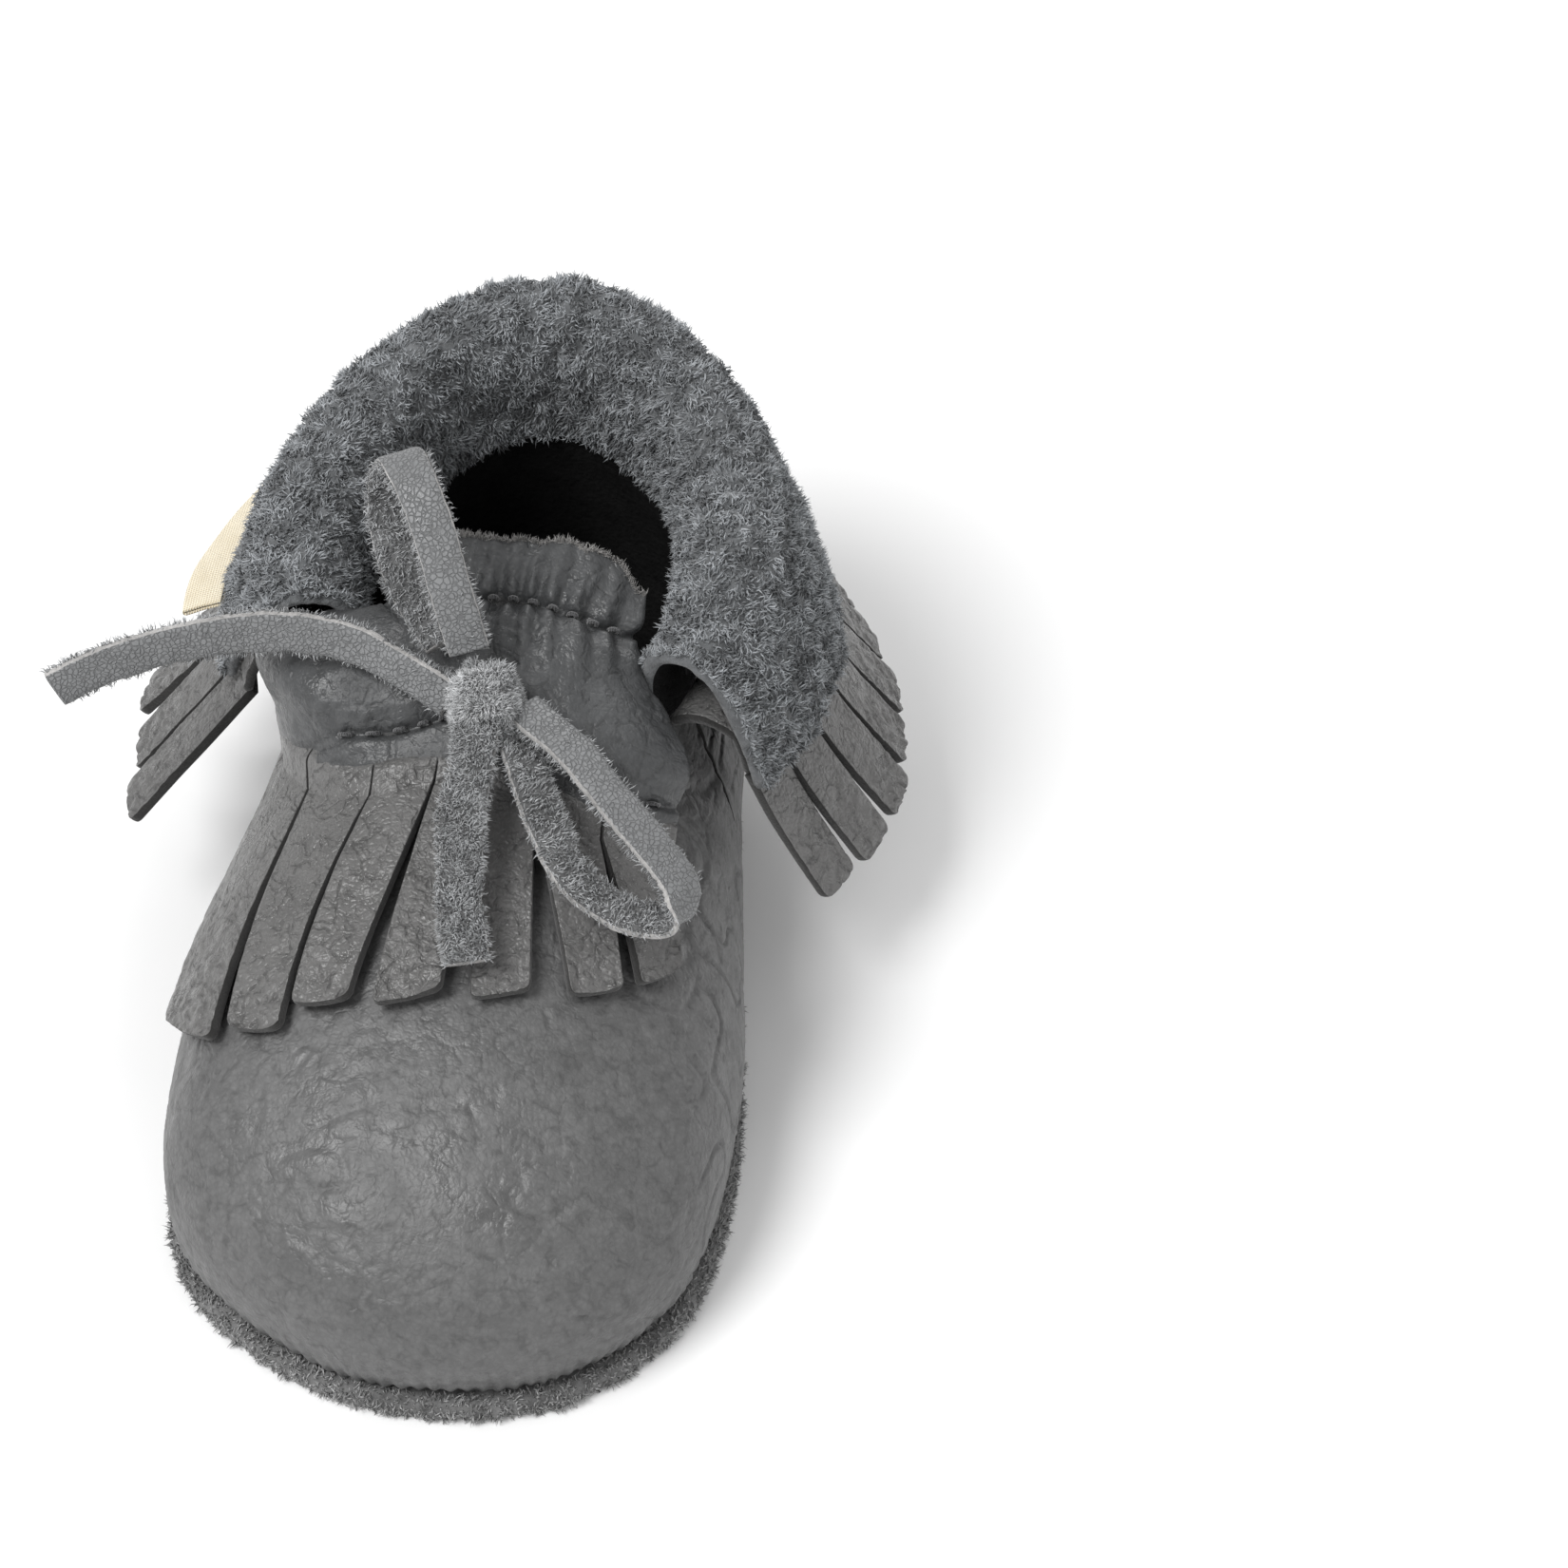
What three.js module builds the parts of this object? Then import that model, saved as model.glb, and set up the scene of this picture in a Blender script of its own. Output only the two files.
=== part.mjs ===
// A soft-soled baby moccasin in grey leather, for the right foot.
// Millimetres, +Z up, toe towards -Y, heel towards +Y, inner side of the foot towards +X.
// The origin is on the underside of the sole, below the middle of the foot.
import * as THREE from 'three';
import { mergeVertices } from 'three/addons/utils/BufferGeometryUtils.js';

// ---- Driving dimensions ----------------------------------------------------------------
const LEATHER = 1.4; // thickness of the upper's leather
const SUEDE = 1.6; // thickness of the cuff's suede
const GAP = 0.4; // space left between pieces that touch on the real shoe
const SOLE_THICKNESS = 2.6;
const SOLE_LIP = 1.3; // how far the sole's edge stands out past the upper's foot
const INSOLE_THICKNESS = 2.0;
const INSOLE_INSET = 3.4; // from the outline of the upper's foot

const ANKLE_MIDDLE_Y = 27.5; // centre of the oval seam where upper and cuff meet
const ANKLE_HALF_WIDTH = 22;
const ANKLE_HALF_LENGTH = 30.5;
const ANKLE_SIDE_Z = 38;
const ANKLE_FRONT_RISE = 4;
const ANKLE_BACK_RISE = 6;

const CUFF_RIGHT = 59; // degrees round from the toe, where the cuff's front ends are
const CUFF_LEFT = 289;
const CUFF_END_SLANT = 7; // degrees that the left end's lower corner lies further back by
const CUFF_END_BLEND = 34; // degrees over which the front ends grow to full height
const CUFF_FRONT_HEIGHT = 0.66; // height of the front ends, as a share of the full cuff
const CUFF_FRONT_FLARE = 0.86;
const CUFF_BACK_FLARE = 0.8;

// Both edges of each front strand at its tip, as places across the fringe from -1 to 1.
const FRONT_TIPS = [
  [-0.97, -0.65], [-0.62, -0.46], [-0.44, -0.27], [-0.2, 0.03], [0.13, 0.36], [0.5, 0.71], [0.77, 0.96],
];
const FRONT_STRANDS = FRONT_TIPS.length;
const SIDE_STRANDS = 22;
const FRINGE_SLIT = 1.0; // cut between two strands, at the root
const FRINGE_THICKNESS = 1.3;
const STRAND_LEAN = 10; // degrees round that the outer side's front strands lean forward by
const STRAND_SPLAY = [-6, 0, 2]; // how far their tips stand out further
const LEAN_FROM = 235; // degrees round, where lean and splay start

const LABEL_FROM = 268; // degrees round, the label's front end
const LABEL_TO = 234;

const LACE_WIDTH = 5;
const LACE_THICKNESS = 1.5;
const KNOT = new THREE.Vector3(0.2, -0.4, 52.6);
const KNOT_RADII = [3.5, 3.4, 2.8];
const INSTEP_SLOPE = 30; // degrees that the flap rises by, under the knot

const LABEL_THICKNESS = 1.0;
const THREAD_RADIUS = 0.4;

// Outline of the upper's foot, from the toe round the inner side to the heel and back.
const FOOT_OUTLINE = [
  [3, -62.5], [18, -57.5], [28, -45], [30.5, -25], [28.5, -4], [25, 20], [22.5, 40], [14, 56],
  [0, 61], [-14, 56], [-22.5, 40], [-25.5, 20], [-30, -4], [-33.5, -27], [-29.5, -47], [-14, -59.5],
];
// Where round the ankle seam, in degrees from the toe, the upper's lines from those points end.
const ANKLE_ANGLES = [0, 12, 24, 38, 58, 84, 112, 146, 180, 214, 248, 276, 302, 322, 336, 348];

// Section of the folded cuff, out from the ankle seam and up from it: up the outer leaf, over the
// roll and down the inner wall.
const CUFF_SECTION = [
  [15.6, -3], [13.9, 3], [11, 11], [8, 17], [4.2, 19.2], [0.2, 17.6], [-1.8, 13], [-2.1, 7], [-0.7, 1.3],
];
// Section of the fringe: its sewn band under the cuff, then the strands.
const BAND_SECTION = [[13.6, -2.9], [12.6, 0.6], [11.4, 4.4]];
const STRAND_SECTION = [[14.3, -4.6], [16.6, -8.6], [20.2, -13.8], [25.2, -20.6]];

// ---- Colours ---------------------------------------------------------------------------
const LEATHER_GREY = { color: 0x77777b, roughness: 0.55, metalness: 0 };
const SUEDE_GREY = { color: 0x5c5d63, roughness: 0.98, metalness: 0 };
const LINING_GREY = { color: 0x4a4b50, roughness: 0.95, metalness: 0 };
const ELASTIC_WHITE = { color: 0xd8d6d0, roughness: 0.9, metalness: 0 };
const LABEL_CREAM = { color: 0xeadfba, roughness: 0.9, metalness: 0 };
const THREAD_GREY = { color: 0x4d4d50, roughness: 0.8, metalness: 0 };

// ---- Small helpers ---------------------------------------------------------------------
const { clamp, lerp, smoothstep, degToRad } = THREE.MathUtils;
const UP = new THREE.Vector3(0, 0, 1);
const vec = (x, y, z) => new THREE.Vector3(x, y, z);
const wrap = (t) => ((t % 1) + 1) % 1;
const steps = (count) => Array.from({ length: count + 1 }, (_, i) => i / count);

// Closed, outward-facing geometry from points and triangles of point indices.
function closedGeometry(points, triangles) {
  const raw = new THREE.BufferGeometry();
  raw.setAttribute('position', new THREE.Float32BufferAttribute(points.flatMap((p) => p.toArray()), 3));
  raw.setIndex(facesOut(points, triangles) ? triangles : triangles.toReversed());
  return mergeVertices(raw, 1e-4);
}

function facesOut(points, triangles) {
  let volume = 0;
  for (let i = 0; i < triangles.length; i += 3) {
    const [a, b, c] = triangles.slice(i, i + 3).map((index) => points[index]);
    volume += a.dot(b.clone().cross(c));
  }
  return volume > 0;
}

// Two triangles for the quad a-b-c-d.
const quad = (a, b, c, d) => [a, b, c, a, c, d];

// Triangles of the wall between rings of points; all rings have the same number of points.
function wallBetween(rings) {
  const size = rings[0].length;
  return rings.slice(1).flatMap((_, i) => rings[0].flatMap((_point, k) => {
    const m = (k + 1) % size;
    return quad(i * size + k, (i + 1) * size + k, (i + 1) * size + m, i * size + m);
  }));
}

// A solid swept through rings of points, with a fan over each end.
function sweptSolid(rings) {
  const triangles = wallBetween(rings);
  const last = (rings.length - 1) * rings[0].length;
  for (let k = 1; k < rings[0].length - 1; k++) {
    triangles.push(0, k, k + 1);
    triangles.push(last, last + k + 1, last + k);
  }
  return closedGeometry(rings.flat(), triangles);
}

// A shell between an outer and an inner grid of points; its two ends are closed strip by strip.
function shellSolid(outer, inner) {
  const rings = outer.map((row, i) => [...row, ...inner[i].toReversed()]);
  const size = rings[0].length;
  const triangles = wallBetween(rings);
  const last = (rings.length - 1) * size;
  for (let k = 0; k < size / 2 - 1; k++) {
    const far = size - 1 - k;
    triangles.push(...quad(k, k + 1, far - 1, far));
    triangles.push(...quad(last + k, last + far, last + far - 1, last + k + 1));
  }
  return closedGeometry(rings.flat(), triangles);
}

// Unit normal of a surface(a, b) by differences. Every surface here runs anticlockwise seen from
// above in a and upward in b on its outer side, so the normal faces out.
function normalOf(surface, a, b) {
  const step = 1e-3;
  const along = surface(a + step, b).sub(surface(a - step, b));
  const upward = surface(a, b + step).sub(surface(a, b - step));
  return along.cross(upward).normalize();
}

// Moves a surface point along its normal.
const offsetPoint = (surface, a, b, distance) => (
  surface(a, b).addScaledVector(normalOf(surface, a, b), distance)
);

// A sheet of a given thickness centred at a distance from a surface.
function sheetOn(surface, from, to, cuts, middle, thickness) {
  const grid = (distance) => steps(cuts[0]).map((i) => steps(cuts[1]).map((j) => (
    offsetPoint(surface, lerp(from[0], to[0], i), lerp(from[1], to[1], j), distance)
  )));
  return shellSolid(grid(middle + thickness / 2), grid(middle - thickness / 2));
}

// ---- Sole ------------------------------------------------------------------------------
const footCurve = new THREE.CatmullRomCurve3(
  FOOT_OUTLINE.map(([x, y]) => vec(x, y, SOLE_THICKNESS + GAP)), true, 'catmullrom', 0.5,
);

function outwardAt(around) {
  const step = 1e-3;
  const along = footCurve.getPoint(wrap(around + step)).sub(footCurve.getPoint(wrap(around - step)));
  return along.cross(UP).normalize();
}

function solePlate(inset, thickness, z) {
  const outline = steps(56).slice(0, -1).map((around) => {
    const point = footCurve.getPoint(around).addScaledVector(outwardAt(around), -inset);
    return new THREE.Vector2(point.x, point.y);
  });
  const plate = new THREE.ExtrudeGeometry(
    new THREE.Shape(outline), { depth: thickness, bevelEnabled: false },
  );
  plate.deleteAttribute('normal');
  plate.deleteAttribute('uv');
  return mergeVertices(plate.translate(0, 0, z), 1e-4);
}

// ---- Upper: vamp over the toes, quarter round the heel -----------------------------------
function anklePoint(degrees) {
  const angle = degToRad(degrees);
  const forward = Math.cos(angle);
  const rise = (forward > 0 ? ANKLE_FRONT_RISE : ANKLE_BACK_RISE) * forward * forward;
  return vec(
    ANKLE_HALF_WIDTH * Math.sin(angle),
    ANKLE_MIDDLE_Y - ANKLE_HALF_LENGTH * forward,
    ANKLE_SIDE_Z + rise,
  );
}

const ankleCurve = new THREE.CatmullRomCurve3(ANKLE_ANGLES.map(anklePoint), true, 'catmullrom', 0.5);

// Control points of the upper's section, at the heel and at the toe.
const LOW_OUT = [5, 7.5]; // beyond the sole's outline
const LOW_UP = [14, 20]; // above the sole
const HIGH_OUT = 3; // beyond the ankle seam, at the heel
const HIGH_TOEWARD = 0.54; // share of the way from the ankle seam to the outline, at the toe
const HIGH_DOWN = [12, 7]; // below the ankle seam

// Outer face of the upper: around is 0 at the toe and 0.5 at the heel, rise is 0 at the sole
// and 1 at the ankle seam.
function upperPoint(around, rise) {
  const foot = footCurve.getPoint(wrap(around));
  const ankle = ankleCurve.getPoint(wrap(around));
  const toeward = smoothstep(Math.cos(2 * Math.PI * around), -1, 1);
  const outward = outwardAt(around);
  const low = foot.clone().addScaledVector(outward, lerp(...LOW_OUT, toeward));
  low.z += lerp(...LOW_UP, toeward);
  const high = ankle.clone().addScaledVector(outward, HIGH_OUT * (1 - toeward));
  high.x += HIGH_TOEWARD * toeward * (foot.x - ankle.x);
  high.y += HIGH_TOEWARD * toeward * (foot.y - ankle.y);
  high.z -= lerp(...HIGH_DOWN, toeward);
  return new THREE.CubicBezierCurve3(foot, low, high, ankle).getPoint(rise);
}

const SIDE_SEAM = 0.285; // where vamp and quarter meet, as a share of the way round
const SEAM_HALF_GAP = 0.0015;
const vampShell = () => sheetOn(
  upperPoint, [-SIDE_SEAM, 0], [SIDE_SEAM, 1], [26, 9], -LEATHER / 2, LEATHER,
);
const quarterShell = () => sheetOn(
  upperPoint, [SIDE_SEAM + 2 * SEAM_HALF_GAP, 0], [1 - SIDE_SEAM - 2 * SEAM_HALF_GAP, 1], [22, 7],
  -LEATHER / 2, LEATHER,
);

// ---- Cuff, its elastic, the label and the side fringe ------------------------------------
// The folded cuff is lower and narrower at its two front ends and narrower at the heel.
function cuffScale(degrees) {
  const fromEnd = Math.min(degrees - CUFF_RIGHT, CUFF_LEFT - degrees);
  const grown = smoothstep(fromEnd, 0, CUFF_END_BLEND);
  const backward = smoothstep(-Math.cos(degToRad(degrees)), 0, 1);
  return {
    out: lerp(CUFF_FRONT_FLARE, lerp(1, CUFF_BACK_FLARE, backward), grown),
    up: lerp(CUFF_FRONT_HEIGHT, 1, grown),
  };
}

// A point of a section that is carried round the ankle seam.
function aroundAnkle(section) {
  const curve = new THREE.CatmullRomCurve3(section.map(([out, up]) => vec(out, up, 0)));
  return (degrees, along) => {
    const angle = degToRad(degrees);
    const outward = vec(Math.sin(angle) / ANKLE_HALF_WIDTH, -Math.cos(angle) / ANKLE_HALF_LENGTH, 0);
    const scale = cuffScale(degrees);
    const [out, up] = curve.getPoint(clamp(along, 0, 1)).toArray();
    const down = up < 0 ? 1 : scale.up;
    return anklePoint(degrees)
      .addScaledVector(outward.normalize(), out * scale.out)
      .addScaledVector(UP, up * down);
  };
}

const cuffSurface = aroundAnkle(CUFF_SECTION);
const bandSurface = aroundAnkle(BAND_SECTION);
const strandSurface = aroundAnkle(STRAND_SECTION);

// The cuff from its right end (share 0) to its left end (1).
function cuffLeaf(share, along) {
  const left = CUFF_LEFT - CUFF_END_SLANT * (1 - smoothstep(along, 0, 0.5));
  return cuffSurface(lerp(CUFF_RIGHT, left, share), along);
}

const cuffShell = () => sheetOn(cuffLeaf, [0, 0], [1, 1], [36, 12], 0, SUEDE);

const ELASTIC_THICKNESS = 0.7;
const elasticSurface = aroundAnkle([[0.6, 5.5], [0.6, 12.5]]);
const ankleElastic = () => sheetOn(
  elasticSurface, [CUFF_RIGHT + 12, 0], [CUFF_LEFT - 12, 1], [26, 1], 0, ELASTIC_THICKNESS,
);

const fringeBand = () => sheetOn(
  bandSurface, [CUFF_RIGHT + 1, 0], [CUFF_LEFT - 1, 1], [36, 2], 0, FRINGE_THICKNESS,
);

// The label is folded double. It stands out from the lower edge of the cuff's outer leaf, over the
// strands on the shoe's outer side.
const labelSurface = aroundAnkle([[21.8, -3.2], [19.2, -1.9], [16.6, -0.9]]);
const sideLabel = () => sheetOn(
  labelSurface, [LABEL_TO, 0], [LABEL_FROM, 1], [8, 3], 0, LABEL_THICKNESS,
);

// One strand between two edges, each a function of the way from root (0) to tip (1).
function strandSolid(leftEdge, rightEdge, cuts, thickness) {
  const rings = steps(cuts).map((t) => {
    const left = leftEdge(t);
    const right = rightEdge(t);
    const ahead = Math.min(t + 0.02, 1);
    const behind = Math.max(t - 0.02, 0);
    const down = leftEdge(ahead).add(rightEdge(ahead)).sub(leftEdge(behind)).sub(rightEdge(behind));
    const normal = right.clone().sub(left).cross(down).normalize();
    const half = normal.multiplyScalar(thickness / 2);
    return [
      left.clone().sub(half), right.clone().sub(half), right.clone().add(half), left.clone().add(half),
    ];
  });
  return sweptSolid(rings);
}

// The hinge line of a strand: its root edge, turned so that a positive angle lifts the tip.
function rootHinge(leftEdge, rightEdge, lift) {
  const left = leftEdge(0);
  const right = rightEdge(0);
  const axis = left.clone().sub(right).normalize();
  const down = leftEdge(1).sub(left);
  if (axis.clone().cross(down).dot(lift) < 0) axis.negate();
  return { position: left.add(right).multiplyScalar(0.5), axis };
}

// Edges of one strand of the side fringe, kept parallel by the width at the root.
function sideStrandEdges(index) {
  const pitch = (CUFF_LEFT - CUFF_RIGHT - 2) / SIDE_STRANDS;
  const middle = CUFF_RIGHT + 1 + pitch * (index + 0.5);
  const root = strandSurface(middle - pitch / 2, 0).distanceTo(strandSurface(middle + pitch / 2, 0));
  const halfWidth = (root - FRINGE_SLIT) / 2;
  const side = strandSurface(middle + pitch / 2, 0).sub(strandSurface(middle - pitch / 2, 0)).normalize();
  const lean = smoothstep(middle, LEAN_FROM, CUFF_LEFT);
  const edge = (sign) => (t) => (
    strandSurface(middle + STRAND_LEAN * lean * t, t)
      .addScaledVector(side, sign * halfWidth)
      .addScaledVector(vec(...STRAND_SPLAY), lean * t)
  );
  return [edge(-1), edge(1)];
}

// ---- Tongue: the front flap, its lining and the front fringe -----------------------------
const FLAP_RIM = { halfWidth: 15.2, y: 22.5, z: 57.5, drop: 4.5, back: 2.5 };
// Where the flap narrows from the instep to the tongue, as shares of the way up, on its two sides.
const FLAP_SHOULDERS = { left: [0.26, 0.45], right: [0.26, 0.62] };
const FLAP_ARCH = 1.5; // its rise above a straight line from fringe to rim, halfway
const FLAP_LOBE = { rise: 7.5, out: 2, reach: 0.7 }; // the swelling of its left side
// Places on the upper, as around and rise, at the fringe's left end, middle and right end.
const FLAP_ROOT = { left: [-0.27, 0.68], middle: [-0.03, 0.985], right: [0.19, 0.75], lift: 2.6 };
const FLAP_TIP = { left: [-0.187, 0.31], middle: [-0.018, 0.69], right: [0.165, 0.6], lift: 1.8 };

// A place on such a line, across from -1 to 1, on the parabola through its three places.
function placeAcross(line, across) {
  return [0, 1].map((k) => (
    line.middle[k]
      + (across * (line.right[k] - line.left[k])) / 2
      + across * across * ((line.right[k] + line.left[k]) / 2 - line.middle[k])
  ));
}

// A point held off the upper, on the way from where the strands start (0) to their tips (1).
function frontPoint(across, way) {
  const root = placeAcross(FLAP_ROOT, across);
  const tip = placeAcross(FLAP_TIP, across);
  const place = root.map((value, k) => lerp(value, tip[k], way));
  return offsetPoint(upperPoint, ...place, lerp(FLAP_ROOT.lift, FLAP_TIP.lift, way));
}

function flapRim(across) {
  return vec(
    across * FLAP_RIM.halfWidth,
    FLAP_RIM.y + FLAP_RIM.back * across * across,
    FLAP_RIM.z - FLAP_RIM.drop * across * across,
  );
}

// across is -1 to 1; up is 0 where the strands start and 1 at the tongue's rim.
function flapSurface(across, up) {
  const rim = flapRim(across);
  const root = frontPoint(across, 0);
  const point = root.clone().lerp(rim, up);
  const [widest, narrowed] = FLAP_SHOULDERS.left.map((left, k) => (
    lerp(left, FLAP_SHOULDERS.right[k], (across + 1) / 2)
  ));
  point.x = lerp(root.x, rim.x, smoothstep(up, widest, narrowed));
  point.z += 4 * FLAP_ARCH * up * (1 - up) * (1 - 0.5 * across * across);
  const lobe = smoothstep(-across, 0.3, 1) * Math.sin(Math.PI * clamp(up / FLAP_LOBE.reach, 0, 1)) ** 2;
  point.x -= FLAP_LOBE.out * lobe;
  point.z += FLAP_LOBE.rise * lobe;
  return point;
}

const tongueFlap = () => sheetOn(flapSurface, [-1, 0], [1, 1], [16, 9], 0, LEATHER);
const LINING_THICKNESS = 1.1;
const LINING_DEPTH = -3.6;
const tongueLining = () => sheetOn(
  flapSurface, [-0.88, 0.36], [0.93, 1], [10, 6], LINING_DEPTH, LINING_THICKNESS,
);
const TONGUE_ELASTIC_DEPTH = -1.8;
const tongueElastic = () => sheetOn(
  flapSurface, [-0.9, 0.64], [0.9, 0.8], [10, 2], TONGUE_ELASTIC_DEPTH, ELASTIC_THICKNESS,
);

// The lace passes behind the flap between its two slits.
const BRIDGE_DEPTH = -1.88;
const laceBridge = () => sheetOn(
  flapSurface, [-0.26, 0.2], [0.26, 0.4], [4, 1], BRIDGE_DEPTH, LACE_THICKNESS,
);

// Edges of one front strand: cut side by side at the root, and spread at the tips.
function frontStrandEdges(index) {
  const slit = FRINGE_SLIT / 55;
  const start = 0.06;
  const edge = (root, tip) => (t) => frontPoint(lerp(root, tip, t), lerp(start, 1, t));
  const left = -1 + (2 * index) / FRONT_STRANDS;
  const right = left + 2 / FRONT_STRANDS;
  return [edge(left + slit, FRONT_TIPS[index][0]), edge(right - slit, FRONT_TIPS[index][1])];
}

// ---- Lace ------------------------------------------------------------------------------
// A flat thong along a route; its width follows the side direction given at each end.
function thong(route, sideStart, sideEnd, cuts) {
  const curve = new THREE.CatmullRomCurve3(route.map((offset) => vec(...offset).add(KNOT)));
  const rings = steps(cuts).map((t) => {
    const centre = curve.getPointAt(t);
    const tangent = curve.getTangentAt(t);
    const side = vec(...sideStart).lerp(vec(...sideEnd), t);
    side.addScaledVector(tangent, -side.dot(tangent)).normalize();
    const normal = tangent.clone().cross(side);
    const corner = (a, b) => centre.clone()
      .addScaledVector(side, (a * LACE_WIDTH) / 2)
      .addScaledVector(normal, (b * LACE_THICKNESS) / 2);
    return [corner(-1, -0.6), corner(-0.85, -1), corner(0.85, -1), corner(1, -0.6),
      corner(1, 0.6), corner(0.85, 1), corner(-0.85, 1), corner(-1, 0.6)];
  });
  return sweptSolid(rings);
}

// Routes are measured from the knot's centre.
const LACE_TAIL_LEFT = [
  [-4.3, -0.2, 1.1], [-9.8, 2.2, 2.6], [-15.1, 4.8, 3.3], [-21.8, 6.2, 3.5], [-28.1, 6.4, 2.9],
  [-34.8, 5.6, 1.8], [-41.2, 4.1, 0.4], [-47, 2.2, -1.3], [-51.3, 0.5, -3.2],
];
const LACE_TAIL_FRONT = [
  [0.5, 2.3, 4.6], [0, -2.2, 3.8], [-0.2, -5.9, 1], [-0.4, -10, -1.6], [-0.7, -13.9, -3.3],
  [-0.3, -18.8, -5.8], [0.4, -23.9, -8.4], [1.9, -29.4, -11.6],
];
const LACE_LOOP_LEFT = [
  [-2.2, 2.9, 6.1], [-4.2, 5.5, 11.6], [-6.9, 10.2, 17.5], [-9.8, 15, 20.9], [-12.1, 19.2, 20.4],
  [-13.7, 20.2, 15.9], [-13.2, 17, 10.3], [-10.4, 12.2, 6.2], [-5.6, 6.2, 3.9],
];
const LACE_LOOP_RIGHT = [
  [4.4, -0.9, 1.2], [11.3, -6.4, 0.2], [16, -10.9, -2], [21.5, -15.5, -5], [25, -18.8, -7.8],
  [24.6, -21.5, -10], [19.3, -21.6, -10], [12.9, -18.9, -7.6], [8.6, -13.4, -4.2], [4.6, -5, -0.9],
];

function laceKnot() {
  const lump = new THREE.SphereGeometry(1, 12, 8);
  lump.deleteAttribute('normal');
  lump.deleteAttribute('uv');
  lump.scale(...KNOT_RADII).rotateX(degToRad(INSTEP_SLOPE)).translate(...KNOT.toArray());
  return mergeVertices(lump, 1e-4);
}

// ---- Stitching -------------------------------------------------------------------------
// A sewing thread that lies on a surface along a line of (a, b) places.
function threadOn(surface, line, cuts, distance) {
  const sides = 6;
  const place = (t) => offsetPoint(surface, ...line(t), distance);
  const rings = steps(cuts).map((t) => {
    const centre = place(t);
    const tangent = place(t + 0.01).sub(place(t - 0.01)).normalize();
    const normal = normalOf(surface, ...line(t));
    const side = tangent.clone().cross(normal).normalize();
    return steps(sides).slice(0, -1).map((turn) => {
      const angle = 2 * Math.PI * turn;
      return centre.clone()
        .addScaledVector(normal, THREAD_RADIUS * Math.sin(angle))
        .addScaledVector(side, THREAD_RADIUS * Math.cos(angle));
    });
  });
  return sweptSolid(rings);
}

const ON_FLAP = LEATHER / 2 + THREAD_RADIUS + 0.3;
const gatherLine = (t) => [lerp(-0.82, 0.82, t), 0.73];
const seamLine = (t) => [lerp(-0.8, 0.8, t), 0.1 + 0.06 * Math.cos(2 * Math.PI * t)];

// ---- Assembly --------------------------------------------------------------------------
const moccasin = new THREE.Group();

function addPiece(name, geometry, finish, hinge) {
  const mesh = new THREE.Mesh(geometry, new THREE.MeshStandardMaterial(finish));
  mesh.name = name;
  if (hinge) mesh.userData.hinge = hinge;
  moccasin.add(mesh);
}

addPiece('outsole', solePlate(-SOLE_LIP, SOLE_THICKNESS, 0), SUEDE_GREY);
addPiece('insole', solePlate(INSOLE_INSET, INSOLE_THICKNESS, SOLE_THICKNESS + GAP), LINING_GREY);
addPiece('vamp', vampShell(), LEATHER_GREY);
addPiece('quarter', quarterShell(), LEATHER_GREY);
addPiece('cuff', cuffShell(), SUEDE_GREY);
addPiece('ankle_elastic', ankleElastic(), ELASTIC_WHITE);
addPiece('tongue_flap', tongueFlap(), LEATHER_GREY);
addPiece('tongue_lining', tongueLining(), LINING_GREY);
addPiece('tongue_elastic', tongueElastic(), ELASTIC_WHITE);
addPiece('fringe_band', fringeBand(), LEATHER_GREY);

for (let index = 0; index < FRONT_STRANDS; index++) {
  const [left, right] = frontStrandEdges(index);
  const hinge = rootHinge(left, right, UP);
  addPiece(`front_strand_${index + 1}`, strandSolid(left, right, 7, FRINGE_THICKNESS), LEATHER_GREY, hinge);
}

for (let index = 0; index < SIDE_STRANDS; index++) {
  const [left, right] = sideStrandEdges(index);
  const hinge = rootHinge(left, right, UP);
  addPiece(`side_strand_${index + 1}`, strandSolid(left, right, 5, FRINGE_THICKNESS), LEATHER_GREY, hinge);
}

addPiece('lace_knot', laceKnot(), LEATHER_GREY);
addPiece('lace_tail_left', thong(LACE_TAIL_LEFT, [0, 0.3, 0.95], [0, 0.15, 0.99], 20), LEATHER_GREY);
addPiece('lace_tail_front', thong(LACE_TAIL_FRONT, [1, 0, 0], [1, 0.05, 0], 16), LEATHER_GREY);
addPiece('lace_loop_left', thong(LACE_LOOP_LEFT, [0.93, 0.3, 0.2], [0.93, 0.3, 0.2], 26), LEATHER_GREY);
addPiece(
  'lace_loop_right', thong(LACE_LOOP_RIGHT, [-0.48, -0.88, 0.04], [-0.48, -0.88, 0.04], 28), LEATHER_GREY,
);
addPiece('lace_bridge', laceBridge(), LEATHER_GREY);
addPiece('side_label', sideLabel(), LABEL_CREAM);
addPiece('gather_thread', threadOn(flapSurface, gatherLine, 18, ON_FLAP), THREAD_GREY);
addPiece('flap_seam_thread', threadOn(flapSurface, seamLine, 24, ON_FLAP), THREAD_GREY);

export default moccasin;
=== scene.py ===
import math
from itertools import product

import bpy
import numpy as np
from mathutils import Matrix


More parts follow.
